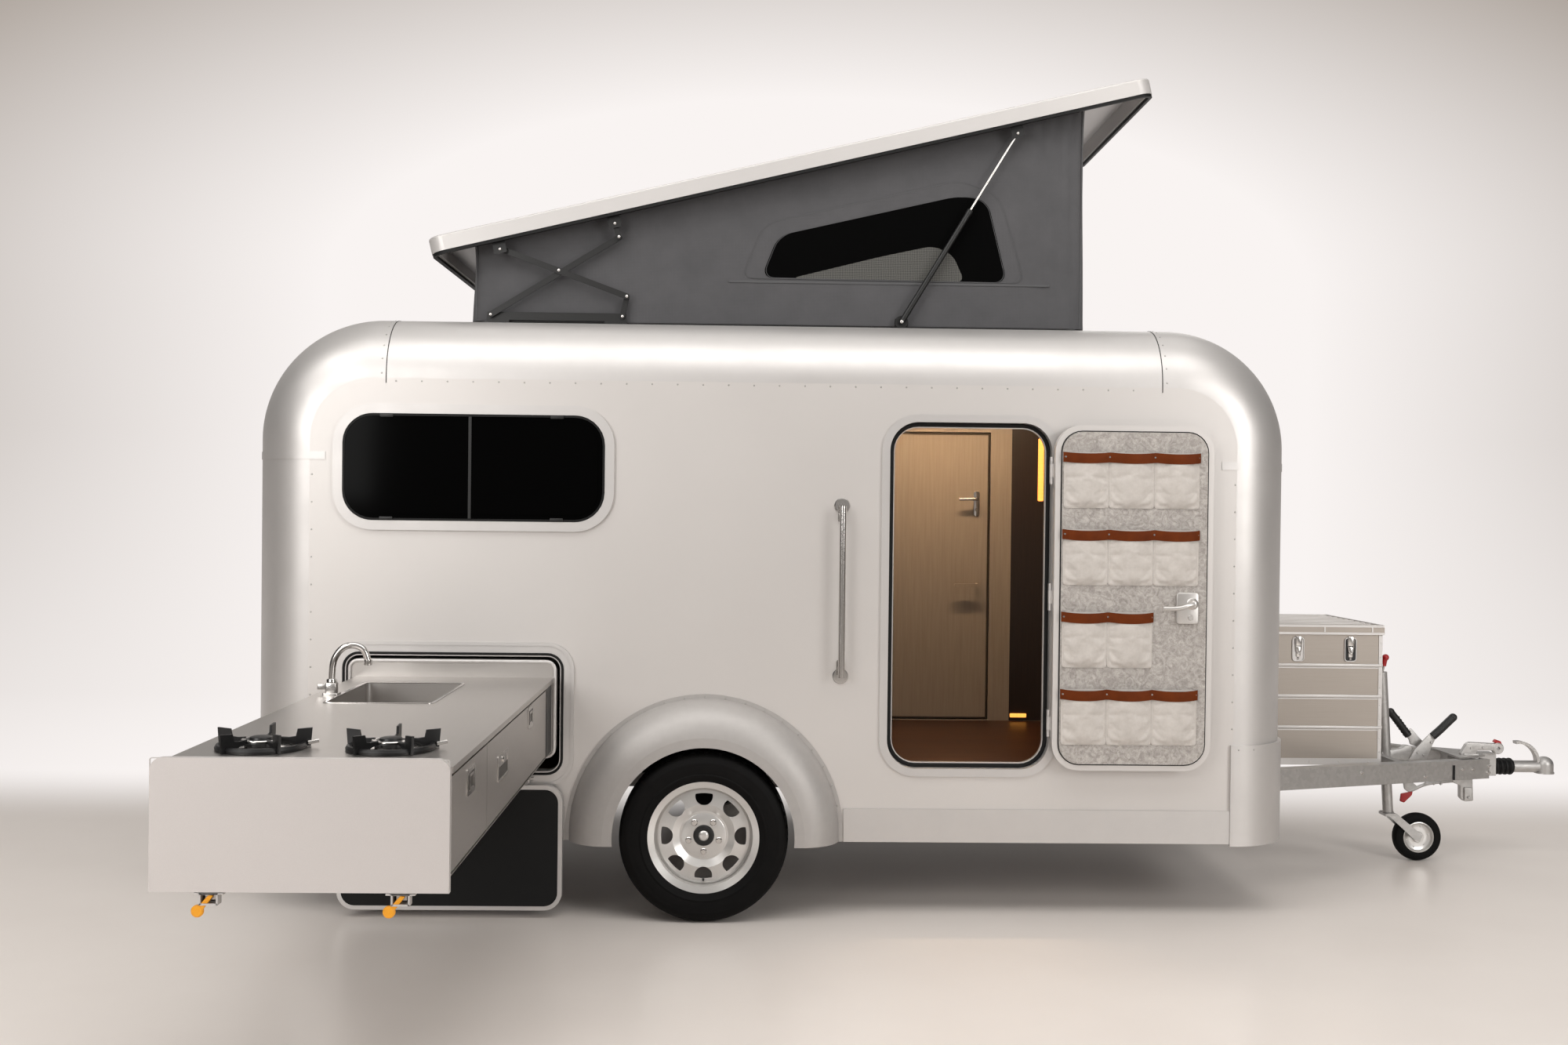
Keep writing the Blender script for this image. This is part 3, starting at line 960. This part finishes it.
for top, count in pocket_rows:
    for index in range(count):
        left = pocket_x + pocket_pitch * index
        made = bmesh.ops.create_grid(bm, x_segments=26, y_segments=30, size=0.5)["verts"]
        for spot in made:
            across, up = spot.co.x + 0.5, spot.co.y + 0.5
            side_edge = min(across, 1 - across) < 0.001
            if side_edge or up < 0.001 or up > 0.999:
                edge_spots.add(spot)
            puff = math.sin(math.pi * across) ** 0.7 * (0.25 + 0.75 * up ** 0.5) * min(1.0, 9 * up)
            squeeze = 4 * math.sin(math.pi * up) * (1 if across < 0.5 else -1) * (abs(2 * across - 1) ** 4)
            height = top - 195 + 187 * up - 4 * sag(across) * up
            spot.co = (left + pocket_width * across + squeeze, height, 1072 + 13 * puff)
        slab(binding, corners((left, left + pocket_width), (top - 195, top - 2), 1.5), 1070.4, 1072.2,
             radius=12, soft=0.8, band=6)
    left, right = pocket_x - 6, pocket_x + pocket_pitch * count
    strip = bmesh.ops.create_grid(straps, x_segments=18 * count, y_segments=4, size=0.5)["verts"]
    for spot in strip:
        x, up = left + (right - left) * (spot.co.x + 0.5), spot.co.y + 0.5
        part = (x - pocket_x) / pocket_pitch % 1 if x > pocket_x else 0.0
        out = 1077 + 18 * sag(part) + 1.5 * math.sin(math.pi * up)
        spot.co = (x, top - 35 + 35 * up - 5 * sag(part), out)
    for index in range(count + 1):
        x = pocket_x + pocket_pitch * index + (3 if index == 0 else -8 if index == count else -2)
        head(rivets, x, top - 17, 1078.5, 5, 3.2, sides=14)
order = {spot: index for index, spot in enumerate(bm.verts)}
edge_index = [order[spot] for spot in edge_spots]
pockets = bpy.data.meshes.new("linen_pockets")
bmesh.ops.transform(bm, matrix=near, verts=bm.verts)
bmesh.ops.recalc_face_normals(bm, faces=bm.faces)
bm.to_mesh(pockets)
bm.free()
pockets = placed("linen_pockets", pockets)
group = pockets.vertex_groups.new(name="sewn")
group.add(edge_index, 1.0, "REPLACE")
inflated(pockets, 0.013, pressure=2.5, slack=0.035, pins="sewn")
pockets.data.materials.append(linen)
pockets.data.shade_smooth()
for vertex in pockets.data.vertices:                       # the strap holds each mouth down
    x, z = vertex.co.x * 1000 + origin_ahead, vertex.co.z * 1000
    out = origin_out - vertex.co.y * 1000
    top = min((row[0] for row in pocket_rows if row[0] >= z - 1), default=pocket_rows[0][0])
    limit = 1074 + 17 * sag((x - pocket_x) / pocket_pitch % 1) + 20 * ramp(top - 36 - z, 0, 40)
    vertex.co.y = (origin_out - min(out, limit)) / 1000
thick = pockets.modifiers.new("cloth_thickness", "SOLIDIFY")
thick.thickness, thick.offset = 0.0016, 0.0
finer = pockets.modifiers.new("finer", "SUBSURF")
finer.levels = finer.render_levels = 1
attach(pockets, "door")
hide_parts("door_pockets")
piece("pocket_seams", binding, near, linen, "door")
bmesh.ops.solidify(straps, geom=straps.faces[:], thickness=2.6)
piece("leather_straps", straps, near, leather, "door", crisp=50)
piece("strap_rivets", rivets, near, polished, "door")

# Mattress: a boxed foam pad whose cover swells between its two piped edges.
low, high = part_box("mattress")
origin = Vector((origin_ahead, -origin_out, 0))
low, high = low * 1000 + origin, high * 1000 + origin
bm = bmesh.new()
slab(bm, corners((low.x + 14, high.x - 14), (low.y + 14, high.y - 14)), low.z + 4, high.z - 12, radius=40)
mattress = piece("mattress_cover", bm, above, ticking)
remesh = mattress.modifiers.new("remesh", "REMESH")
remesh.mode, remesh.voxel_size = "VOXEL", 0.02
even = bpy.data.meshes.new_from_object(mattress.evaluated_get(bpy.context.evaluated_depsgraph_get()))
mattress.modifiers.remove(remesh)
mattress.data = even
inflated(mattress, 0.011)
for vertex in mattress.data.vertices:
    vertex.co.z = max(vertex.co.z, (low.z + 0.5) / 1000)
mattress.data.shade_smooth()
finer = mattress.modifiers.new("finer", "SUBSURF")
finer.levels = finer.render_levels = 1
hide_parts("mattress")

# ---- lid linkage ----
def on_lid(along, up):
    """Side-view place of a point of the raised lid."""
    return (lid_x + along * math.cos(lid_slope) - up * math.sin(lid_slope),
            lid_z + along * math.sin(lid_slope) + up * math.cos(lid_slope))


def dome(bm, x, y, depth, radius=7.0, height=4.0):
    """Add the round head of a pivot rivet."""
    rise = ((0, 1), (0.45, 0.93), (0.82, 0.6), (1, 0.1), (1, 0), (0, 0))
    turned(bm, [(out * radius, depth + up * height) for out, up in rise], (x, y), steps=20)


strut_foot, strut_top = Vector((720, 2166)), Vector(on_lid(3374, -25))
run = (strut_top - strut_foot).normalized()
for side, view, sign in (("near", near, 1), ("far", far, -1)):
    for body, heads in (
        ("scissor_a", ((-841, 2173, 593),)),
        ("scissor_high", ((-357, 2472, 607),)),
        ("scissor_low", ((-343, 2173, 586),)),
        ("scissor_b", ((-584, 2343, 600), (-326, 2248, 600))),
    ):
        bm = bmesh.new()
        for x, z, depth in heads:
            dome(bm, sign * x, z, depth)
        piece(f"pivot_rivets_{body}_{side}", bm, view, polished, body)
    bm, bolts = bmesh.new(), bmesh.new()
    for along in (1362.3, 1806.3, 3374.0):
        outline = [on_lid(along + across, up) for across, up in ((-24, -42), (24, -42), (24, 12), (-24, 12))]
        slab(bm, [(sign * x, z) for x, z in outline], 613.2, 614.4, radius=5, soft=0.5)
        x, z = on_lid(along, -25)
        dome(bolts, sign * x, z, 614.4, 6.5, 3.4)
    piece(f"lid_bracket_faces_{side}", bm, view, black_steel, "roof_lid")
    piece(f"lid_bracket_bolts_{side}", bolts, view, polished, "roof_lid")

    def along_strut(distance):
        """Place on the strut's line, this far from its foot."""
        spot = strut_foot + run * distance
        return (sign * spot.x, spot.y, 594)

    bm = bmesh.new()
    bar(bm, (along_strut(10), along_strut(24), along_strut(38)), 8.4, sides=4)
    dome(bm, sign * 720, 2166, 601, 8, 4)
    piece(f"strut_clevis_{side}", bm, view, polished, "struts")
    bm = bmesh.new()
    bar(bm, (along_strut(480), along_strut(490), along_strut(500)), 12.4, sides=4)
    bar(bm, (along_strut(38), along_strut(43), along_strut(48)), 12.0, sides=4)
    piece(f"strut_gland_{side}", bm, view, black_steel, "struts")
    bm = bmesh.new()
    turned(bm, ((8, 579.5), (25, 579.5), (26, 581), (26, 585), (24, 587), (8, 587)), (sign * 720, 2164),
           steps=36, closed=True)
    piece(f"strut_foot_bracket_{side}", bm, view, black_steel)

# Pressed lip along the lid's edge, and small catches on the roof for its closed position.
bm = bmesh.new()
slab(bm, corners((1128, 3886), (-616, 616)), 72.1, 72.9, radius=46, soft=0.6, band=20)
slab(bm, corners((1300, 3720), (-470, 470)), 72.1, 73.4, radius=60, soft=1.2, band=34)
lid_tilt = Matrix.Rotation(-lid_slope, 4, "Y")
lid_view = Matrix.Translation(at(lid_x, 0, lid_z)) @ lid_tilt @ Matrix.Scale(0.001, 4)
piece("lid_pressed_panel", bm, lid_view, gelcoat, "roof_lid")
bm = bmesh.new()
for x in (224, -560, 1180):
    for sign in (1, -1):
        thick = (sign * 617 - 4, sign * 617 + 4)
        slab(bm, corners((x - 11, x + 11), thick), 2070.5, 2120, radius=3, soft=1)
        slab(bm, corners((x - 17, x + 17), thick), 2108, 2121, radius=2, soft=1)
piece("lid_catches", bm, above, anodised)

# ---- seams, straps and rivets of the body ----
def ribbon(bm, sights, carriers, across, lift, thickness):
    """Add a strip laid on the body along these lines of sight, reaching `across` to each side of them."""
    hits = first_hits(sights, carriers)
    made = bmesh.ops.create_grid(bm, x_segments=len(hits) - 1, y_segments=1, size=0.5)["verts"]
    for spot in made:
        place, normal = hits[round((spot.co.x + 0.5) * (len(hits) - 1))]
        spot.co = place + normal * lift + Vector(across) / 1000 * (1 if spot.co.y > 0 else -1)
    faces = list({face for spot in made for face in spot.link_faces})
    bmesh.ops.recalc_face_normals(bm, faces=faces)
    bmesh.ops.solidify(bm, geom=faces, thickness=thickness)


shell = (
    "edge_trim", "corner_mouldings", "side_wall_near", "side_wall_far", "roof_panel", "end_walls",
    "lower_skirts",
)
bend_y, bend_z, strap_z = 775, 1895, 1620    # centre of the roof edge's bend, and height of the corner straps
beyond = 1400                                # lines of sight start here, outside the walls
seams, bands, sights = bmesh.new(), bmesh.new(), []
for sign in (-1, 1):
    for x, rivet_x in ((-1135, -1151), (1614, 1630)):
        line = []
        for step in range(-1, 22):
            turn = math.radians(90 * step / 20)
            y, z = bend_y + 500 * math.cos(turn), bend_z + 500 * math.sin(turn)
            line.append(((x, sign * y, z), (x, sign * bend_y, bend_z)))
        ribbon(seams, line, shell, (1.3, 0, 0), 0.0006, 0.0008)
        sights += [((rivet_x, *start[1:]), (rivet_x, *end[1:])) for start, end in line[2::3]]
    for centre, start, way in ((-1400, -1345, -1), (1885, 1830, 1)):
        line = [((start, sign * beyond, strap_z), (start, 0, strap_z))]
        for step in range(17):
            turn = math.radians(90 * step / 16)
            x, y = centre + way * 600 * math.sin(turn), sign * (bend_y + 600 * math.cos(turn))
            line.append(((x, y, strap_z), (centre, sign * bend_y, strap_z)))
        ribbon(bands, line, shell, (0, 0, 14), 0.0022, 0.0020)
        sights += [line[2], line[8], line[15]]
    rows = [(x, 1885) for x in range(-1100, 1590, 90)]
    rows += [(x, z) for x in (-1392, 1880) for z in range(680, 1600, 97)]
    rows += [(x, 607) for x in (-1420, -1390, 1902, 1960)]
    turns = [math.radians(12 + 8.7 * step) for step in range(19)]
    rows += [(482 * math.cos(turn), axle_height + 482 * math.sin(turn)) for turn in turns]
    sights += [((x, sign * beyond, z), (x, 0, z)) for x, z in rows]
piece("moulding_seams", seams, Matrix.Identity(4), rubber)
piece("corner_straps", bands, Matrix.Identity(4), anodised)
studs("body_rivets", sights, (*shell, "fenders"), rivet_heads)

# Black edge of the arch liner between tyre and fender, with a foot at each end.
for side, view in (("near", near), ("far", far)):
    bm = bmesh.new()
    arc = [(math.cos(math.radians(turn)), math.sin(math.radians(turn))) for turn in range(2, 179, 8)]
    bar(bm, [(390.5 * x, axle_height + 390.5 * z, 990) for x, z in arc], 5)
    for turn in (2, 178):
        x = math.cos(math.radians(turn)) * 392
        lean = 34 if x > 0 else -34
        foot = ((x - lean / 3, 300), (x + lean, 300), (x + 1.5 * lean, 262), (x - lean / 2, 248))
        slab(bm, foot, 940, 984, soft=2)
    piece(f"arch_edge_{side}", bm, view, rubber)


# ---- tool box ----
box_x, box_out, rib_heights = (2236, 2712), 300, (591, 717, 842)
for side, view, sign in (("near", near, 1), ("far", far, -1)):
    span = (sign * (box_x[0] + 3), sign * (box_x[1] - 3))
    bm = bmesh.new()
    for z in rib_heights:
        slab(bm, corners(span, (z - 6, z + 6)), box_out + 0.2, box_out + 5.5, soft=2.4)
        slab(bm, corners(span, (z - 13, z - 8)), box_out + 0.2, box_out + 1.6, soft=0.7)
    slab(bm, corners(span, (439, 465)), box_out + 0.2, box_out + 3.4, soft=1)
    slab(bm, corners((sign * box_x[1], sign * 2697), (440, 963)), box_out + 0.2, box_out + 2.2, soft=0.8)
    for x in (2300, 2420, 2540, 2660):
        head(bm, sign * x, 452, box_out + 3.3, 4.2, 2)
    for z in (905, 780, 654, 520):
        for rise in (28, -28):
            head(bm, sign * 2704.5, z + rise, box_out + 2.1, 3.4, 1.6)
    piece(f"box_ribs_{side}", bm, view, anodised)
    bm = bmesh.new()
    rim = (sign * (box_x[0] - 5), sign * (box_x[1] + 5))
    slab(bm, corners(rim, (966, 975)), 306.2, 309.4, soft=1.2)
    slab(bm, corners(rim, (996, 1003.5)), 306.2, 308.4, soft=1.4)
    for x in (2262, 2474, 2668):
        slab(bm, corners((sign * x - 3, sign * x + 3), (976, 996)), 306.2, 307.6, soft=0.6)
    piece(f"box_lid_rim_{side}", bm, view, anodised, "storage_lid")
bm = bmesh.new()
for z in rib_heights:
    slab(bm, corners((-297, 297), (z - 6, z + 6)), 2712.2, 2717, soft=2.2)
slab(bm, corners((-297, 297), (439, 465)), 2712.2, 2715, soft=1)
piece("box_front_ribs", bm, ahead, anodised)
bm = bmesh.new()
for y in range(-240, 241, 60):
    slab(bm, corners((2262, 2690), (y - 7, y + 7)), 1004.1, 1006.6, radius=6, soft=1)
slab(bm, corners((2233, 2715), (-303, 303)), 1004.1, 1005.6, radius=10, soft=0.6, band=14)
piece("box_lid_beads", bm, above, anodised, "storage_lid")
for name, x, back in (("rear", 2368, anodised), ("front", 2581, black_steel)):
    plate(f"box_latch_plate_{name}", near, back, corners((x - 23, x + 23), (858, 952)), 300.2, 302.4,
          radius=12, soft=0.8)
    plate(f"box_latch_rim_{name}", near, anodised, corners((x - 25, x + 25), (856, 954)), 300.2, 305,
          radius=14, soft=1.4, band=4.5)
    bm = bmesh.new()
    slab(bm, corners((x - 11, x + 11), (920, 958)), 302.5, 307.5, radius=4, soft=1.6)
    slab(bm, corners((x - 9, x + 9), (874, 916)), 302.5, 306, radius=4, soft=1.4)
    bar(bm, ((x - 13, 948, 306), (x - 12, 900, 307), (x, 884, 307.5), (x + 12, 900, 307), (x + 13, 948, 306)),
        1.9)
    turned(bm, ((0, 305), (4.5, 305), (5.5, 302.5), (0, 302.5)), (x, 868), steps=16)
    piece(f"box_latch_hook_{name}", bm, near, polished)

# ---- hitch ----
jockey_x, jockey_z, jockey_out = 2969, 100, 60      # middle of the nose wheel
bm = bmesh.new()
tread = ((64, 23), (70, 24.6), (88, 24.8), (95, 21), (98.6, 12), (99.8, 4))
turned(bm, both_sides(tread, jockey_out), (jockey_x, jockey_z), steps=64, closed=True)
jockey_tyre = piece("jockey_tyre", bm, near, tyre_rubber, "jockey_wheel")
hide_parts("jockey_wheel")
bm = bmesh.new()
dish = ((64, 23.4), (61, 24.4), (58.5, 22), (55, 12), (40, 6), (24, 9), (20, 19), (15, 19.5), (6.3, 19.5))
turned(bm, both_sides(dish, jockey_out), (jockey_x, jockey_z), steps=56, closed=True)
for index in range(6):
    turn = math.radians(60 * index + 12)
    head(bm, jockey_x + 46 * math.cos(turn), jockey_z + 46 * math.sin(turn), jockey_out + 8, 4, 3)
piece("jockey_rim", bm, near, wheel_lacquer, "jockey_wheel")

# Brake levers: their foot, two lever plates, the coupling's housing and its seat, each with its depths.
bm = bmesh.new()
for outline, low, high, radius, soft in (
    (((2843, 464), (2896, 471), (2909, 485), (2936, 482), (2939, 472), (2923, 425), (2810, 425), (2810, 458)),
     46, 78, 4, 2),
    (((2916, 534), (2944, 554), (2982, 512), (3002, 492), (2982, 472), (2942, 485), (2937, 505)),
     44, 50, 4, 1.4),
    (((3011, 535), (3038, 519), (3022, 486), (3009, 453), (3000, 426), (2923, 425), (2946, 465), (2982, 505)),
     74, 80, 4, 1.4),
    (((3146, 450), (3172, 493), (3185, 499), (3296, 494), (3306, 465), (3216, 464), (3216, 434), (3163, 434)),
     52, 72, 5, 4),
    (corners((3158, 3222), (424, 452)), 46, 78, 4, 2),
):
    slab(bm, outline, low, high, radius=radius, soft=soft)
turned(bm, ((8, 50), (21, 50), (24, 53), (24, 71), (21, 74), (8, 74)), (3306, 474), steps=32, closed=True)
for x, z in ((3016, 500), (2985, 446), (2960, 455), (3240, 478), (3190, 474)):
    head(bm, x, z, 79.8 if x < 3100 else 71.5, 6, 4, sides=6)
piece("brake_lever_plates", bm, near, galvanised)
bm = bmesh.new()
bar(bm, ((2934, 522, 47), (2908, 557, 47), (2880, 593, 47), (2858, 620, 47)), 15.5, sides=5)
bar(bm, ((3024, 524, 77), (3052, 548, 77), (3082, 578, 77), (3108, 603, 77)), 16.5, sides=5)
for end in ((2857, 621, 47), (3109, 604, 77)):
    knob(bm, end, 17)
for step in range(6):
    turned(bm, ((14, 0), (16.8, 0), (16.8, 4), (14, 4)), (0, 0), steps=20, closed=True)
    ring = [spot for spot in bm.verts if abs(spot.co.z) < 5 and math.hypot(spot.co.x, spot.co.y) < 18]
    twist(bm, ring, 90, "X")
    twist(bm, ring, 36, "Z")
    bmesh.ops.translate(bm, verts=ring, vec=(2925 - 9 * step, 534 + 12 * step, 47))
piece("brake_lever_grips", bm, near, grip)
cap = ((3288, 500), (3296, 512), (3318, 504), (3324, 488), (3314, 490), (3300, 496))
plate("hitch_pawl_cap", near, red_nylon, cap, 54, 70, radius=3, soft=2)

# Brake linkage under the drawbar, on its middle line, where the raised nose wheel passes beside it.
bm = bmesh.new()
slab(bm, ((3111, 353), (3225, 353), (3230, 242), (3193, 239), (3176, 255), (3175, 308), (3152, 315)), -11, 17,
     radius=5, soft=2)
slab(bm, corners((3188, 3222), (246, 300)), -17, 25, radius=4, soft=2)
slab(bm, ((2935, 322), (2972, 319), (3002, 294), (2966, 270), (2942, 287)), -5, 5, radius=4, soft=1.6)
bar(bm, ((2962, 279, 0), (2985, 287, 0), (3012, 302, 0), (3060, 316, 0), (3156, 324, 0)), 7, sides=4)
for x in (3030, 3066, 3096):
    head(bm, x, 312, 3, 7, 6, sides=6)
head(bm, 3205, 258, 25, 7, 4, sides=6)
piece("brake_linkage", bm, near, galvanised)
plate("breakaway_clip", near, red_nylon, ((2924, 269), (2974, 279), (2970, 263), (2937, 231), (2920, 237)),
      3, 11, radius=4, soft=3)

# Rubber gaiter of the coupling, with four ridges.
gaiter_back, gaiter_front = 3317.0, 3400
bm = bmesh.new()
section = [(29.5, gaiter_back)]
for index in range(4):
    start = gaiter_back + 20.75 * index
    ridge = ((30, 1), (34.8, 5), (35.9, 10), (34.8, 15), (30, 19.5))
    section += [(radius, start + along) for radius, along in ridge]
section += [(29.5, gaiter_front), (25.8, gaiter_front), (25.8, gaiter_back)]
turned(bm, section, (0, 388), steps=48, closed=True)
bellows = piece("coupling_gaiter", bm, ahead, rubber)
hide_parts("coupling_bellows")

# Crank of the nose wheel and its red grip.
bm = bmesh.new()
crank = ((2811, 752), (2811, 768), (2812, 790), (2818, 806), (2819, 818))
bar(bm, [(x, z, jockey_out) for x, z in crank], 5.5, sides=4)
piece("jockey_crank", bm, near, polished)
bm = bmesh.new()
crank_grip = ((2819, 816), (2820, 826), (2824, 842), (2826, 850))
bar(bm, [(x, z, jockey_out) for x, z in crank_grip], 10.5, sides=5)
knob(bm, (2827, 852, jockey_out), 14)
piece("jockey_crank_knob", bm, near, red_nylon)

# Bolts through the drawbar beams, and the black tie round the near one.
bm = bmesh.new()
sights = [((3056, -900, z), (3056, 0, z)) for z in range(346, 425, 6)]
ribbon(bm, sights, ("chassis_frame",), (4.5, 0, 0), 0.0025, 0.0022)
piece("beam_cable_tie", bm, Matrix.Identity(4), rubber)
bolts = ((3262, 402), (3262, 374), (3168, 398), (3110, 402), (2900, 392), (2560, 440))
sights = [((x, -900, z), (x, 0, z)) for x, z in bolts]
studs("drawbar_bolts", sights, ("chassis_frame", "coupling"), polished, radius=8, height=6)


# ---- studio ----
def haze(tree, place):
    """Colour of the backdrop: brightest behind the trailer, darker round that, and pale again far off."""
    spot = add(tree, "SeparateXYZ", {0: place})
    aside = add(tree, "Math", {0: spot.outputs[0], 1: 0.3}, operation="ADD")
    aside = add(tree, "Math", {0: aside.outputs[0], 1: 6.2}, operation="DIVIDE")
    over = add(tree, "MapRange", {0: spot.outputs[2], 1: 3.1, 2: 5.5, 3: 0.0, 4: 1.0}, clamp=False)
    over = add(tree, "Math", {0: over.outputs[0], 1: 0.0}, operation="MAXIMUM")
    both = add(tree, "CombineXYZ", {0: aside.outputs[0], 1: over.outputs[0]})
    reach = add(tree, "VectorMath", {0: both.outputs[0]}, operation="LENGTH")
    share = add(tree, "MapRange", {0: reach.outputs["Value"], 1: 0.6, 2: 1.4, 3: 0.0, 4: 1.0})
    low = add(tree, "MapRange", {0: spot.outputs[2], 1: 0.0, 2: 2.0, 3: 0.45, 4: 1.0})
    share = add(tree, "Math", {0: share.outputs[0], 1: low.outputs[0]}, operation="MULTIPLY")
    tone = add(tree, "Mix", {0: share.outputs[0], 6: linear("f9f4f2"), 7: linear("a69c93")}, data_type="RGBA")
    away = add(tree, "MapRange", {0: reach.outputs["Value"], 1: 1.9, 2: 3.4, 3: 0.0, 4: 1.0})
    mixed = add(tree, "Mix", {0: away.outputs[0], 6: tone.outputs[2], 7: linear("e2dad4")}, data_type="RGBA")
    return mixed.outputs[2]


# Pale matt studio floor with a soft gloss. Beyond the trailer it rises in tone like a paper cove.
ground, tree, surface, place = material("sealed_studio_floor", "", Roughness=0.3)
mottle = add(tree, "TexNoise", {"Vector": place, "Scale": 2.5, "Detail": 5.0})
tone = add(tree, "Mix", {0: mottle.outputs[0], 6: linear("e2dad4"), 7: linear("e9e2dc")}, data_type="RGBA")
wire(tree, surface, Base_Color=tone.outputs[2])
position = add(tree, "SeparateXYZ", {0: place})
cove = add(tree, "MapRange", {0: position.outputs[1], 1: 1.4, 2: 2.8, 3: 0.0, 4: 1.0},
           interpolation_type="SMOOTHSTEP")
glow = add(tree, "Emission", {"Color": haze(tree, place), "Strength": 1.0})
joined = add(tree, "MixShader", {0: cove.outputs[0], 1: surface.outputs[0], 2: glow.outputs[0]})
wire(tree, tree.nodes["Material Output"], Surface=joined.outputs[0])

# Lit paper behind the trailer. It shows to whoever stands in front of it, and lets the studio's light
# through.
paper, tree, surface, place = material("backdrop_paper", "", Roughness=0.9)
glow = add(tree, "Emission", {"Color": haze(tree, place), "Strength": 1.0})
clear = add(tree, "BsdfTransparent")
away = add(tree, "Math", {0: 1.0, 1: add(tree, "NewGeometry").outputs["Backfacing"]}, operation="SUBTRACT")
seen = add(tree, "LightPath").outputs["Is Camera Ray"]
looked = add(tree, "Math", {0: seen, 1: away.outputs[0]}, operation="MULTIPLY")
joined = add(tree, "MixShader", {0: looked.outputs[0], 1: clear.outputs[0], 2: glow.outputs[0]})
wire(tree, tree.nodes["Material Output"], Surface=joined.outputs[0])

for name, finish, turn, place in (
    ("studio_floor", ground, Matrix.Identity(4), (0, 0, 0)),
    ("studio_backdrop", paper, Matrix.Rotation(math.radians(90), 4, "X"), (0, 6.0, 0)),
):
    bm = bmesh.new()
    bmesh.ops.create_grid(bm, x_segments=1, y_segments=1, size=30.0, matrix=Matrix.Translation(place) @ turn)
    mesh = bpy.data.meshes.new(name)
    bm.to_mesh(mesh)
    bm.free()
    mesh.materials.append(finish)
    placed(name, mesh)

# Surroundings: even soft light, darker to both sides, which draws the edges of the mouldings.
world = bpy.data.worlds.new("studio")
bpy.context.scene.world = world
world.use_nodes = True
tree = world.node_tree
tree.nodes.clear()
direction = add(tree, "SeparateXYZ", {0: add(tree, "TexCoord").outputs["Generated"]})
aside = add(tree, "Math", {0: direction.outputs[0]}, operation="ABSOLUTE")
strength = add(tree, "MapRange", {0: aside.outputs[0], 1: 0.5, 2: 0.9, 3: 0.44, 4: 0.08})
lit = add(tree, "Background", {"Color": linear("f4efea"), "Strength": strength.outputs[0]})
shown = add(tree, "Background", {"Color": linear("e2dad4"), "Strength": 1.0})
seen = add(tree, "LightPath").outputs["Is Camera Ray"]
joined = add(tree, "MixShader", {0: seen, 1: lit.outputs[0], 2: shown.outputs[0]})
add(tree, "OutputWorld", {"Surface": joined.outputs[0]})

lamps = (
    ("overhead_softbox", (-0.2, -2.4, 5.4), (0.0, 0.4, 1.0), (7.0, 2.6), 160.0),
    ("left_front_softbox", (-4.8, -5.8, 3.0), (-2.2, 0.0, 1.2), (2.6, 3.2), 154.0),
    ("right_front_softbox", (4.9, -5.8, 3.0), (2.2, 0.0, 1.2), (2.6, 3.2), 192.0),
    ("top_softbox", (0.0, 1.2, 6.0), (0.0, 0.9, 1.0), (6.0, 3.0), 40.0),
    ("left_top_softbox", (-5.0, -2.6, 5.0), (-2.2, 0.0, 1.9), (1.6, 1.6), 46.0),
    ("rear_softbox", (0.5, 5.5, 4.0), (0.0, 1.0, 1.0), (5.0, 2.5), 70.0),
)
for name, place, target, size, power in lamps:
    lamp = bpy.data.lights.new(name, "AREA")
    lamp.shape, lamp.size, lamp.size_y, lamp.energy = "RECTANGLE", size[0], size[1], power
    lamp.color = (1.0, 0.985, 0.965)
    holder = placed(name, lamp)
    holder.location = place
    holder.rotation_euler = (Vector(target) - Vector(place)).to_track_quat("-Z", "Y").to_euler()
cabin_light = bpy.data.lights.new("cabin_light", "AREA")
cabin_light.shape, cabin_light.size, cabin_light.size_y, cabin_light.energy = "RECTANGLE", 0.9, 0.05, 8.5
cabin_light.color = (1.0, 0.72, 0.46)
placed("cabin_light", cabin_light).location = at(900, -300, 2020)
